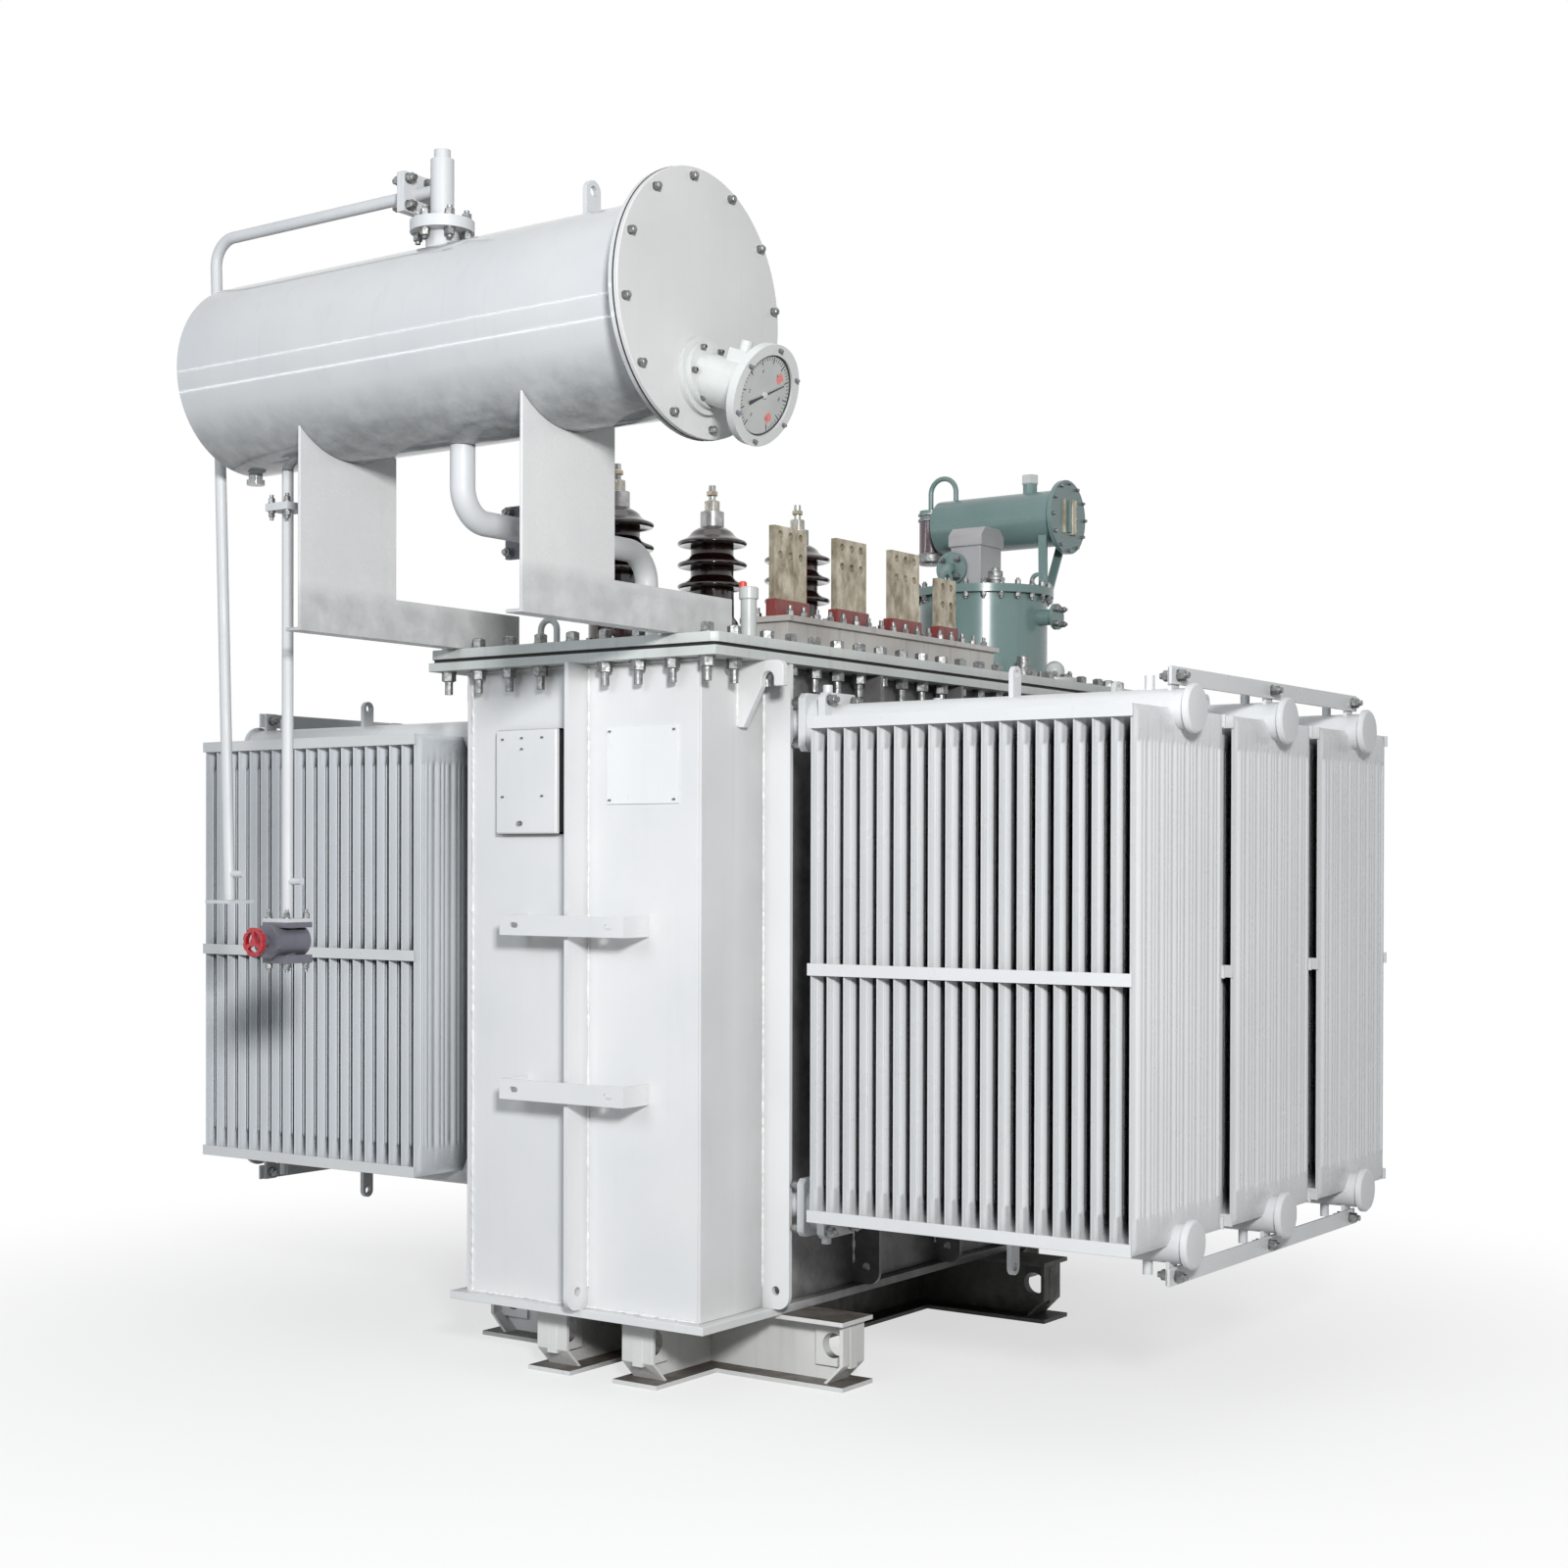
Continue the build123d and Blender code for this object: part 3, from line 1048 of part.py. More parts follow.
def gas_relay():
    """Oil pipe from the barrel to the cover, broken by the flanged gas relay."""
    back_y = RELAY_FRONT_Y + RELAY_LENGTH
    inlet = pipe(
        [
            (RELAY_X, CONSERVATOR_Y, CONSERVATOR_Z),
            (RELAY_X, CONSERVATOR_Y, RELAY_RUN_Z),
            (RELAY_X, RELAY_FRONT_Y, RELAY_RUN_Z),
        ],
        RELAY_BEND,
        RELAY_PIPE_RADIUS,
    )
    left = (CONSERVATOR_LEFT_X, CONSERVATOR_Y, CONSERVATOR_Z)
    right = (CONSERVATOR_RIGHT_X, CONSERVATOR_Y, CONSERVATOR_Z)
    inlet -= rod(left, right, CONSERVATOR_RADIUS + SEAT_GAP)
    outlet = pipe(
        [
            (RELAY_X, back_y, RELAY_RUN_Z),
            (RELAY_X, RELAY_DROP_Y, RELAY_RUN_Z),
            (RELAY_X, RELAY_DROP_Y, COVER_TOP_Z),
        ],
        RELAY_BEND,
        RELAY_PIPE_RADIUS,
    )
    save("relay_pipe", inlet, outlet)
    plate = square_flange((0, 0, 0), RELAY_FLANGE_SIZE, RELAY_FLANGE_THICK, SEAT_GAP)
    upright = Plane(origin=(0, 0, 0), x_dir=(1, 0, 0), z_dir=(0, 1, 0))
    half = RELAY_FLANGE_THICK / 2
    relay = Pos(RELAY_X, RELAY_FRONT_Y + half, RELAY_RUN_Z) * (upright * plate)
    relay += Pos(RELAY_X, back_y - half, RELAY_RUN_Z) * (upright * plate)
    middle_y = (RELAY_FRONT_Y + back_y) / 2
    relay += Pos(RELAY_X, middle_y, RELAY_RUN_Z) * Box(
        RELAY_BODY_SIZE, RELAY_LENGTH - 2 * RELAY_FLANGE_THICK, RELAY_BODY_SIZE
    )
    head_low = RELAY_RUN_Z + RELAY_BODY_SIZE / 2
    head_top = head_low + RELAY_HEAD_HEIGHT
    relay += rod((RELAY_X, middle_y, head_low), (RELAY_X, middle_y, head_top), RELAY_HEAD_RADIUS)
    dome = rod((RELAY_X, middle_y, head_top), (RELAY_X, middle_y, RELAY_DOME_TOP_Z), RELAY_DOME_RADIUS)
    crown = dome.faces().sort_by(Axis.Z)[-1].edges()
    relay += chamfer(crown, RELAY_DOME_RADIUS / 2)
    save("gas_relay", relay)


def hv_bushings():
    """Three porcelain bushings with metal clamps, caps and terminal studs."""
    foot_low = COVER_TOP_Z + HV_CLAMP_HEIGHT
    foot_top = foot_low + HV_FOOT_HEIGHT
    points = [(0, foot_low), (HV_FOOT_RADIUS, foot_low), (HV_FOOT_RADIUS, foot_top - HV_SHED_DROOP)]
    points.append((HV_CORE_RADIUS, foot_top))
    for n in reversed(range(HV_SHED_COUNT)):
        rim_z = HV_SHED_TOP_Z - n * HV_SHED_SPACING
        points.append((HV_CORE_RADIUS, rim_z - HV_SHED_LIP))
        points.append((HV_SHED_RADIUS, rim_z - HV_SHED_LIP))
        points.append((HV_SHED_RADIUS, rim_z))
        points.append((HV_CORE_RADIUS, rim_z + HV_SHED_DROOP))
    points += [(HV_CAP_RADIUS, HV_PORCELAIN_TOP_Z), (0, HV_PORCELAIN_TOP_Z)]
    porcelain = revolve(Plane.XZ * make_face(Polyline(*points, close=True)), Axis.Z)
    clamp = Cylinder(HV_CLAMP_RADIUS, HV_CLAMP_HEIGHT, align=(Align.CENTER, Align.CENTER, Align.MIN))
    cap_top = HV_PORCELAIN_TOP_Z + HV_CAP_HEIGHT
    nut_top = cap_top + HV_NUT_HEIGHT
    cap = rod((0, 0, HV_PORCELAIN_TOP_Z), (0, 0, cap_top), HV_CAP_RADIUS)
    cap += rod((0, 0, cap_top), (0, 0, nut_top), HV_NUT_RADIUS)
    cap += rod((0, 0, nut_top), (0, 0, HV_STUD_TOP_Z), HV_STUD_RADIUS)
    bodies = []
    metal = []
    for n in range(HV_COUNT):
        place = Pos(HV_X, HV_FIRST_Y + n * HV_SPACING, 0)
        bodies.append(place * porcelain)
        metal.append(place * (Pos(0, 0, COVER_TOP_Z) * clamp))
        metal.append(place * cap)
    save("hv_porcelain", *bodies)
    save("hv_terminals", *metal)


def lv_terminals():
    """Raised box with its plate, insulating blocks and drilled terminal bars."""
    half_box = LV_BOX_WIDTH / 2
    plate_z = COVER_TOP_Z + LV_BOX_HEIGHT
    top_z = plate_z + LV_PLATE_THICK
    box = block((LV_X - half_box, LV_BOX_FRONT_Y, COVER_TOP_Z), (LV_X + half_box, LV_BOX_BACK_Y, plate_z))
    box -= block(
        (LV_X - half_box + LV_BOX_WALL, LV_BOX_FRONT_Y + LV_BOX_WALL, COVER_TOP_Z - CUT_OVERRUN),
        (LV_X + half_box - LV_BOX_WALL, LV_BOX_BACK_Y - LV_BOX_WALL, plate_z + CUT_OVERRUN),
    )
    reach = half_box + LV_PLATE_OVERHANG
    plate = block(
        (LV_X - reach, LV_BOX_FRONT_Y - LV_PLATE_OVERHANG, plate_z),
        (LV_X + reach, LV_BOX_BACK_Y + LV_PLATE_OVERHANG, top_z),
    )
    block_top = top_z + LV_BLOCK_HEIGHT
    half_thick = LV_BAR_THICK / 2
    blocks = []
    bars = []
    phases = [(y, LV_BAR_WIDTH, LV_BAR_HEIGHT, 3) for y in LV_CENTRES]
    for y, width, height, rows in [*phases, (LV_NEUTRAL_Y, LV_NEUTRAL_WIDTH, LV_NEUTRAL_HEIGHT, 2)]:
        half_block = width / 2 + LV_BLOCK_MARGIN
        blocks.append(
            block(
                (LV_X - LV_BLOCK_THICK / 2, y - half_block, top_z),
                (LV_X + LV_BLOCK_THICK / 2, y + half_block, block_top),
            )
        )
        bar = block(
            (LV_X - half_thick, y - width / 2, block_top),
            (LV_X + half_thick, y + width / 2, block_top + height),
        )
        first_y = y - (rows - 1) * LV_HOLE_SPACING_Y / 2
        for column in range(rows):
            for row in range(2):
                hole_y = first_y + column * LV_HOLE_SPACING_Y
                hole_z = block_top + height - LV_HOLE_INSET - row * LV_HOLE_SPACING_Z
                start = (LV_X - CUT_OVERRUN, hole_y, hole_z)
                bar -= rod(start, (LV_X + CUT_OVERRUN, hole_y, hole_z), LV_HOLE_RADIUS)
        bars.append(bar)
    save("lv_turret", box + plate)
    save("lv_blocks", *blocks)
    save("lv_bars", *bars)


def cover_fittings():
    """Thermometer pocket, lifting loop, vent cap and domed hand-hole flange on the cover."""
    low = COVER_TOP_Z
    pocket_top = low + POCKET_HEIGHT
    pocket = rod((POCKET_X, POCKET_Y, low), (POCKET_X, POCKET_Y, pocket_top), POCKET_RADIUS)
    cap_top = pocket_top + POCKET_CAP_HEIGHT
    pocket += rod((POCKET_X, POCKET_Y, pocket_top), (POCKET_X, POCKET_Y, cap_top), POCKET_CAP_RADIUS)
    half = LOOP_WIDTH / 2 - LOOP_ROD_RADIUS
    loop_top = low + LOOP_HEIGHT - LOOP_ROD_RADIUS
    loop = pipe(
        [
            (LOOP_X - half, LOOP_Y, low),
            (LOOP_X - half, LOOP_Y, loop_top),
            (LOOP_X + half, LOOP_Y, loop_top),
            (LOOP_X + half, LOOP_Y, low),
        ],
        half - SEAT_GAP,
        LOOP_ROD_RADIUS,
    )
    vent = rod((VENT_CAP_X, VENT_CAP_Y, low), (VENT_CAP_X, VENT_CAP_Y, low + VENT_CAP_HEIGHT), VENT_CAP_RADIUS)
    dome_z = low + DOME_FLANGE_THICK
    dome = rod((DOME_X, DOME_Y, low), (DOME_X, DOME_Y, dome_z), DOME_FLANGE_RADIUS)
    dome += rod((DOME_X, DOME_Y, dome_z), (DOME_X, DOME_Y, dome_z + DOME_NECK_HEIGHT), DOME_RADIUS)
    crown = Pos(DOME_X, DOME_Y, dome_z + DOME_NECK_HEIGHT) * Sphere(DOME_RADIUS)
    above = block(
        (DOME_X - DOME_RADIUS, DOME_Y - DOME_RADIUS, dome_z + DOME_NECK_HEIGHT),
        (DOME_X + DOME_RADIUS, DOME_Y + DOME_RADIUS, dome_z + DOME_NECK_HEIGHT + DOME_RADIUS),
    )
    dome += crown & above
    save("cover_fittings", pocket, loop, vent, dome)


def tap_changer():
    """Round switch tank with its bolted lid, gearbox and oil outlet."""
    axis = (TAP_X, TAP_Y)
    tank = rod((*axis, COVER_TOP_Z), (*axis, TAP_FLANGE_Z), TAP_RADIUS)
    tank += rod((*axis, TAP_FLANGE_Z), (*axis, TAP_FLANGE_Z + TAP_FLANGE_THICK), TAP_FLANGE_RADIUS)
    stub_end = TAP_X + TAP_RADIUS + TAP_STUB_REACH
    tank += rod((TAP_X, TAP_Y, TAP_STUB_Z), (stub_end, TAP_Y, TAP_STUB_Z), TAP_STUB_RADIUS)
    disc_start = stub_end - TAP_STUB_FLANGE_THICK
    tank += rod((disc_start, TAP_Y, TAP_STUB_Z), (stub_end, TAP_Y, TAP_STUB_Z), TAP_STUB_FLANGE_RADIUS)
    tank -= rod((*axis, COVER_TOP_Z), (*axis, TAP_FLANGE_Z + CUT_OVERRUN), TAP_RADIUS - TAP_WALL)
    save("tap_changer_tank", tank)
    lid = rod((*axis, TAP_FLANGE_Z + TAP_FLANGE_THICK), (*axis, TAP_TOP_Z), TAP_FLANGE_RADIUS)
    eye_reach = (TAP_RADIUS + TAP_FLANGE_RADIUS) / 2 - TAP_EYE_RADIUS
    for angle in TAP_EYE_ANGLES:
        turn = math.radians(angle)
        place = Pos(TAP_X + eye_reach * math.cos(turn), TAP_Y + eye_reach * math.sin(turn), TAP_TOP_Z)
        half = TAP_EYE_THICK / 2
        eye = rod((-half, 0, TAP_EYE_RISE), (half, 0, TAP_EYE_RISE), TAP_EYE_RADIUS)
        eye -= rod((-TAP_EYE_THICK, 0, TAP_EYE_RISE), (TAP_EYE_THICK, 0, TAP_EYE_RISE), TAP_EYE_HOLE)
        past = 2 * TAP_EYE_RADIUS
        eye &= block((-past, -past, 0), (past, past, past))
        lid += place * (Rot(0, 0, angle + 90) * eye)
    outlet_z = TAP_TOP_Z + OUTLET_RISE
    elbow = pipe(
        [
            (OUTLET_X, OUTLET_Y, TAP_TOP_Z - TAP_FLANGE_THICK / 2),
            (OUTLET_X, OUTLET_Y, outlet_z),
            (OUTLET_X, OUTLET_Y + OUTLET_REACH, outlet_z),
        ],
        OUTLET_REACH - OUTLET_DISC_THICK,
        OUTLET_PIPE_RADIUS,
    )
    disc_y = OUTLET_Y + OUTLET_REACH
    elbow += rod((OUTLET_X, disc_y - OUTLET_DISC_THICK, outlet_z), (OUTLET_X, disc_y, outlet_z), OUTLET_DISC_RADIUS)
    lid += elbow
    for x in MINI_STRAP_XS:
        for side in (-1, 1):
            lid += strap(x, side)
    save("tap_changer_lid", lid)
    cap_z = TAP_TOP_Z + GEARBOX_HEIGHT
    half_width = GEARBOX_WIDTH / 2
    half_depth = GEARBOX_DEPTH / 2
    low = (GEARBOX_X - half_width, GEARBOX_Y - half_depth, TAP_TOP_Z)
    box = block(low, (GEARBOX_X + half_width, GEARBOX_Y + half_depth, cap_z))
    over = GEARBOX_CAP_OVERHANG
    hood = block(
        (low[0] - over, low[1] - over, cap_z),
        (GEARBOX_X + half_width + over, GEARBOX_Y + half_depth + over, cap_z + GEARBOX_CAP_HEIGHT),
    )
    hood = chamfer(hood.faces().sort_by(Axis.Z)[-1].edges().filter_by(Axis.X), GEARBOX_CAP_BEVEL)
    save("tap_changer_gearbox", box + hood)


def strap(x, side):
    """Flat leg from the lid's edge up to the lower flank of the small barrel."""
    rim_y = TAP_Y + math.sqrt(TAP_FLANGE_RADIUS**2 - (x - TAP_X) ** 2) - MINI_STRAP_WIDTH
    foot_y = rim_y + side * MINI_STRAP_FOOT
    flank = math.radians(MINI_STRAP_ANGLE)
    top_y = MINI_Y + side * MINI_RADIUS * math.cos(flank)
    top_z = MINI_Z - MINI_RADIUS * math.sin(flank)
    half = MINI_STRAP_THICK / 2
    low_z = TAP_TOP_Z - TAP_FLANGE_THICK / 2
    points = [(foot_y - half, low_z), (foot_y + half, low_z), (top_y + half, top_z), (top_y - half, top_z)]
    leg = Pos(x, 0, 0) * slab(points, SIDE_VIEW, MINI_STRAP_WIDTH)
    left = (MINI_LEFT_X, MINI_Y, MINI_Z)
    right = (MINI_RIGHT_X, MINI_Y, MINI_Z)
    return leg - rod(left, right, MINI_RADIUS + SEAT_GAP)


def small_conservator():
    """Small oil barrel beside the switch tank with a sight window, filler and breather."""
    left = (MINI_LEFT_X, MINI_Y, MINI_Z)
    disc_x = MINI_RIGHT_X + MINI_DISC_THICK
    barrel = rod(left, (MINI_RIGHT_X, MINI_Y, MINI_Z), MINI_RADIUS)
    barrel += rod((MINI_RIGHT_X, MINI_Y, MINI_Z), (disc_x, MINI_Y, MINI_Z), MINI_DISC_RADIUS)
    barrel += Pos(disc_x + MINI_WINDOW_THICK / 2, MINI_Y, MINI_Z) * Box(
        MINI_WINDOW_THICK, MINI_WINDOW_WIDTH, MINI_WINDOW_HEIGHT
    )
    filler_top = MINI_Z + MINI_RADIUS + MINI_FILLER_RISE
    barrel += rod((MINI_FILLER_X, MINI_Y, MINI_Z), (MINI_FILLER_X, MINI_Y, filler_top), MINI_FILLER_RADIUS)
    barrel -= rod(
        (MINI_LEFT_X + MINI_WALL, MINI_Y, MINI_Z), (MINI_RIGHT_X, MINI_Y, MINI_Z), MINI_RADIUS - MINI_WALL
    )
    save("tap_changer_conservator", barrel)
    cap = GEL_HEIGHT * GEL_CAP_SHARE
    glass_low = GEL_LOW_Z + cap
    glass_top = GEL_LOW_Z + GEL_HEIGHT - cap
    gel_top = GEL_LOW_Z + GEL_HEIGHT
    gel = rod((GEL_X, MINI_Y, GEL_LOW_Z), (GEL_X, MINI_Y, glass_low), GEL_CAP_RADIUS)
    gel += rod((GEL_X, MINI_Y, glass_low), (GEL_X, MINI_Y, glass_top), GEL_RADIUS)
    gel += rod((GEL_X, MINI_Y, glass_top), (GEL_X, MINI_Y, gel_top), GEL_CAP_RADIUS)
    loop_low = MINI_Z + MINI_RADIUS
    bend = (GEL_ENTRY_X - GEL_X) / 2 - SEAT_GAP
    gel += pipe(
        [
            (GEL_X, MINI_Y, glass_top),
            (GEL_X, MINI_Y, GEL_LOOP_TOP_Z),
            (GEL_ENTRY_X, MINI_Y, GEL_LOOP_TOP_Z),
            (GEL_ENTRY_X, MINI_Y, loop_low),
        ],
        bend,
        GEL_PIPE_RADIUS,
    )
    gel -= rod(left, (MINI_RIGHT_X, MINI_Y, MINI_Z), MINI_RADIUS + SEAT_GAP)
    save("tap_changer_breather", gel)


os.makedirs("parts", exist_ok=True)
save("base_long_beams", *long_beams())
save("base_cross_beams", *[cross_beam(CROSS_BEAM_FIRST_Y + n * CROSS_BEAM_SPACING) for n in range(2)])
tank_shell()
wall_stiffeners()
lifting_hooks()
front_fittings()
radiators()
radiator_valves()
tie_bars()
conservator()
saddles()
level_gauge()
riser()
save("conservator_pipes", breather_line(), drain_line())
handwheel(drain_valve())
gas_relay()
hv_bushings()
lv_terminals()
cover_fittings()
tap_changer()
small_conservator()
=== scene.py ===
# %% [markdown]
# # An oil-immersed transformer, dressed in Blender
# The CAD model already gives every plate, pipe and flange its place and size. This lesson adds what CAD leaves
# out: softened edges, pressed panels, bolts, weld beads, glaze, paint and dirt. Each step says what the real
# piece is, how it could be made, and why one way was chosen.

# %% Load the CAD frame
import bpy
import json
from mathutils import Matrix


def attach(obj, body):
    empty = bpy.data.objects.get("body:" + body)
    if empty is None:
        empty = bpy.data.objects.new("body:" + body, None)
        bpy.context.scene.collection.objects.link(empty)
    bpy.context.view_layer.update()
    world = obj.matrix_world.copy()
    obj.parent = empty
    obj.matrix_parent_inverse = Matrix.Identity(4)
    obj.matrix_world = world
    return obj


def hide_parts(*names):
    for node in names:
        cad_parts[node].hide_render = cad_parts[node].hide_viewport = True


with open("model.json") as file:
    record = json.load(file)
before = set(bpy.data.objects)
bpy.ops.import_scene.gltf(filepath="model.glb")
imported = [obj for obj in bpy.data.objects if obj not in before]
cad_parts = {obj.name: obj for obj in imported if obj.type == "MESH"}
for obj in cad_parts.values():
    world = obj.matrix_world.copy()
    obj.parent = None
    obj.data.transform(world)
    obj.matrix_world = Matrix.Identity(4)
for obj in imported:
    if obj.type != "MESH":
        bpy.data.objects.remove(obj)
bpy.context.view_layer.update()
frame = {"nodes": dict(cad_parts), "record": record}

import json
import math

import bmesh
import bpy
from mathutils import Matrix, Vector

RECORD = frame["record"]
BODY_OF = {node: body for body, nodes in RECORD["behaviour"]["bodies"].items() for node in nodes}

# %% [markdown]
# ## Sizes on the drawing
# The drawing of the transformer measures in millimetres, back from the tank's front wall and up from the ground.
# Blender works in metres from the middle of the footprint. One small function turns the first into the second, so
# that every size below reads as it would on the drawing.

# %% From drawing millimetres to metres
MM = 0.001
FRONT_WALL_Y = -704


def place(x, y, z):
    """A point of the drawing in Blender's metres."""
    return Vector((x * MM, (y + FRONT_WALL_Y) * MM, z * MM))


print("front wall stands at y =", place(0, 0, 0).y)

# %% [markdown]
# ## Two tools for every finish
# Colours are written as the sRGB hex codes that a colour picker shows, but shaders calculate with linear light, so
# one function converts them. The other function adds a node to a tree, with its settings and its links, and serves
# materials and Geometry Nodes alike.

# %% Colour and node helpers


def linear(code):
    """Linear RGBA of an sRGB hex colour."""
    parts = [int(code[n:n + 2], 16) / 255 for n in (1, 3, 5)]
    return [c / 12.92 if c <= 0.04045 else ((c + 0.055) / 1.055) ** 2.4 for c in parts] + [1.0]


def add(tree, kind, links=None, **settings):
    """Adds a node; links maps a socket to a node's first output, another socket or a plain value."""
    node = tree.nodes.new(kind)
    for name, value in settings.items():
        setattr(node, name, value)
    for name, value in (links or {}).items():
        if isinstance(value, bpy.types.Node):
            value = value.outputs[0]
        if isinstance(value, bpy.types.NodeSocket):
            tree.links.new(value, node.inputs[name])
        else:
            node.inputs[name].default_value = value
    return node


def new_material(name, shader):
    """An empty material; the shader's fixed values go straight on its sockets."""
    material = bpy.data.materials.new(name)
    material.use_nodes = True
    surface = material.node_tree.nodes["Principled BSDF"]
    for socket, value in shader.items():
        surface.inputs[socket].default_value = value
    spot = add(material.node_tree, "ShaderNodeTexCoord").outputs["Object"]
    return material, material.node_tree, surface, spot


print("mid grey in linear light:", [round(c, 3) for c in linear("#808080")])

# %% [markdown]
# ## Sprayed paint on steel
# Nearly all of the transformer is light grey alkyd paint sprayed over welded plate. It could be one flat colour,
# but real paint shows clouds where the spray gun passed, streaks where rain ran, dirt in the corners and dust on
# whatever faces up; the recipe lays painted shade into corners and sheltered places as well. The same recipe, with
# other colours and other amounts of dirt and painted shade, paints the tank, the radiators, the base and the teal
# tap changer.

# %% The paint recipe
TANK_MIDDLE_Y = place(0, 1040, 0).y
CLOUD_SIZE = 350 * MM
STREAK_WIDTH, STREAK_HEIGHT = 26 * MM, 600 * MM
DUST_PATCH = 70 * MM
CHIP_SIZE = 9 * MM
PRIMER = "#6E5F50"
# Real orange peel is about 2 mm across; 5 mm is drawn, so that it still shows from the camera
PEEL_SIZE = 5 * MM


def paint(name, coat, shade, dirt_and_shade_colour, dust_colour, runs, crevice_dirt_and_shade, dust, roughness, chips=0.0, dirt_and_shade_band=None,
          shelter=(45, 0.25, 0.8), peel=0.12, slit_shadow=None):
    """Sprayed alkyd paint: IOR 1.5, faint orange peel, and dirt and painted shade in layers of a share and a colour.

    dirt_and_shade_band is (axis, clean, foul, depth): a band that deepens from the clean to the foul distance in mm,
    up the Z axis or along Y from the tank's middle; on the walls, ribs, barrel and base it is painted shade, and on
    the saddles a greying of their feet. shelter is a reach in mm and the span of openness in which corners darken
    with dirt and painted shade. slit_shadow is (start, full, colour): painted shadow by the distance in mm from a
    panel's edge, where little light gets in.
    """
    material, tree, surface, spot = new_material(name, {"IOR": 1.5, "Specular IOR Level": 0.5})
    cloud = add(tree, "ShaderNodeTexNoise", {"Vector": spot, "Scale": 1 / CLOUD_SIZE, "Detail": 4.0})
    tone = add(tree, "ShaderNodeMapRange", {"Value": cloud.outputs["Fac"], "From Min": 0.35, "From Max": 0.65})
    layered_colour = add(tree, "ShaderNodeMix", {0: tone, 6: linear(coat), 7: linear(shade)}, data_type="RGBA")
    tall = add(tree, "ShaderNodeMapping",
               {"Vector": spot, "Scale": (1 / STREAK_WIDTH, 1 / STREAK_WIDTH, 1 / STREAK_HEIGHT)})
    streak = add(tree, "ShaderNodeTexNoise", {"Vector": tall, "Scale": 1.0, "Detail": 3.0})
    run = add(tree, "ShaderNodeMapRange",
              {"Value": streak.outputs["Fac"], "From Min": 0.56, "From Max": 0.78, "To Max": runs})
    # Crevice dirt and painted shade: surfaces darken where little of the open air reaches them
    open_air = add(tree, "ShaderNodeAmbientOcclusion", {"Distance": shelter[0] * MM}, samples=16)
    corner = add(tree, "ShaderNodeMapRange", {"Value": open_air.outputs["AO"], "From Min": shelter[1],
                                              "From Max": shelter[2], "To Min": crevice_dirt_and_shade, "To Max": 0.0})
    normal = add(tree, "ShaderNodeNewGeometry").outputs["Normal"]
    up = add(tree, "ShaderNodeSeparateXYZ", {0: normal})
    ledge = add(tree, "ShaderNodeMapRange", {"Value": up.outputs["Z"], "From Min": 0.6, "From Max": 0.97})
    patch = add(tree, "ShaderNodeTexNoise",
                {"Vector": spot, "Scale": 1 / DUST_PATCH, "Detail": 6.0, "Roughness": 0.65})
    lie = add(tree, "ShaderNodeMapRange", {"Value": patch.outputs["Fac"], "From Min": 0.36, "From Max": 0.62,
                                           "To Min": 0.9 * dust * dust, "To Max": dust})
    settled = add(tree, "ShaderNodeMath", {0: ledge, 1: lie}, operation="MULTIPLY")
    layers = [(run, dirt_and_shade_colour), (corner, dirt_and_shade_colour), (settled, dust_colour)]
    if chips:
        fleck = add(tree, "ShaderNodeTexNoise", {"Vector": spot, "Scale": 1 / CHIP_SIZE, "Detail": 3.0})
        bare = add(tree, "ShaderNodeMapRange",
                   {"Value": fleck.outputs["Fac"], "From Min": 0.77, "From Max": 0.8, "To Max": chips})
        layers.append((bare, PRIMER))
    # A band that darkens along an axis: painted shade under and behind things, and greying on the saddles
    if dirt_and_shade_band:
        axis, clean, foul, depth = dirt_and_shade_band
        along = add(tree, "ShaderNodeSeparateXYZ", {0: spot}).outputs[axis]
        if axis == "Y":
            off = add(tree, "ShaderNodeMath", {0: along, 1: TANK_MIDDLE_Y}, operation="SUBTRACT")
            along = add(tree, "ShaderNodeMath", {0: off}, operation="ABSOLUTE")
        level = add(tree, "ShaderNodeMapRange",
                    {"Value": along, "From Min": clean * MM, "From Max": foul * MM, "To Max": depth})
        blotching = add(tree, "ShaderNodeMapRange", {"Value": patch.outputs["Fac"], "From Min": 0.35, "From Max": 0.62,
                                                 "To Min": 0.35 if axis == "Z" else 0.9})
        banded_dirt_and_shade = add(tree, "ShaderNodeMath", {0: level, 1: blotching}, operation="MULTIPLY")
        layers.append((banded_dirt_and_shade, dirt_and_shade_colour))
    # Painted shadow deep in the slits between panels, where the neighbouring panel hides the light
    if slit_shadow:
        inset = add(tree, "ShaderNodeAttribute", attribute_name="inset")
        deep = add(tree, "ShaderNodeMapRange",
                   {"Value": inset.outputs["Fac"], "From Min": slit_shadow[0] * MM, "From Max": slit_shadow[1] * MM})
        hidden = add(tree, "ShaderNodeMapRange", {"Value": open_air.outputs["AO"], "From Min": 0.2, "From Max": 0.3,
                                                  "To Min": 1.0, "To Max": 0.0})
        dark = add(tree, "ShaderNodeMath", {0: deep, 1: hidden}, operation="MULTIPLY")
        layers.append((dark, slit_shadow[2]))
    for amount, colour in layers:
        layered_colour = add(tree, "ShaderNodeMix", {0: amount, 6: layered_colour.outputs[2], 7: linear(colour)}, data_type="RGBA")
    tree.links.new(layered_colour.outputs[2], surface.inputs["Base Color"])
    gloss = add(tree, "ShaderNodeMapRange", {"Value": patch.outputs["Fac"], "From Min": 0.3, "From Max": 0.7,
                                             "To Min": 0.85 * roughness, "To Max": 1.25 * roughness})
    tree.links.new(gloss.outputs[0], surface.inputs["Roughness"])
    skin = add(tree, "ShaderNodeTexNoise", {"Vector": spot, "Scale": 1 / PEEL_SIZE, "Detail": 2.0})
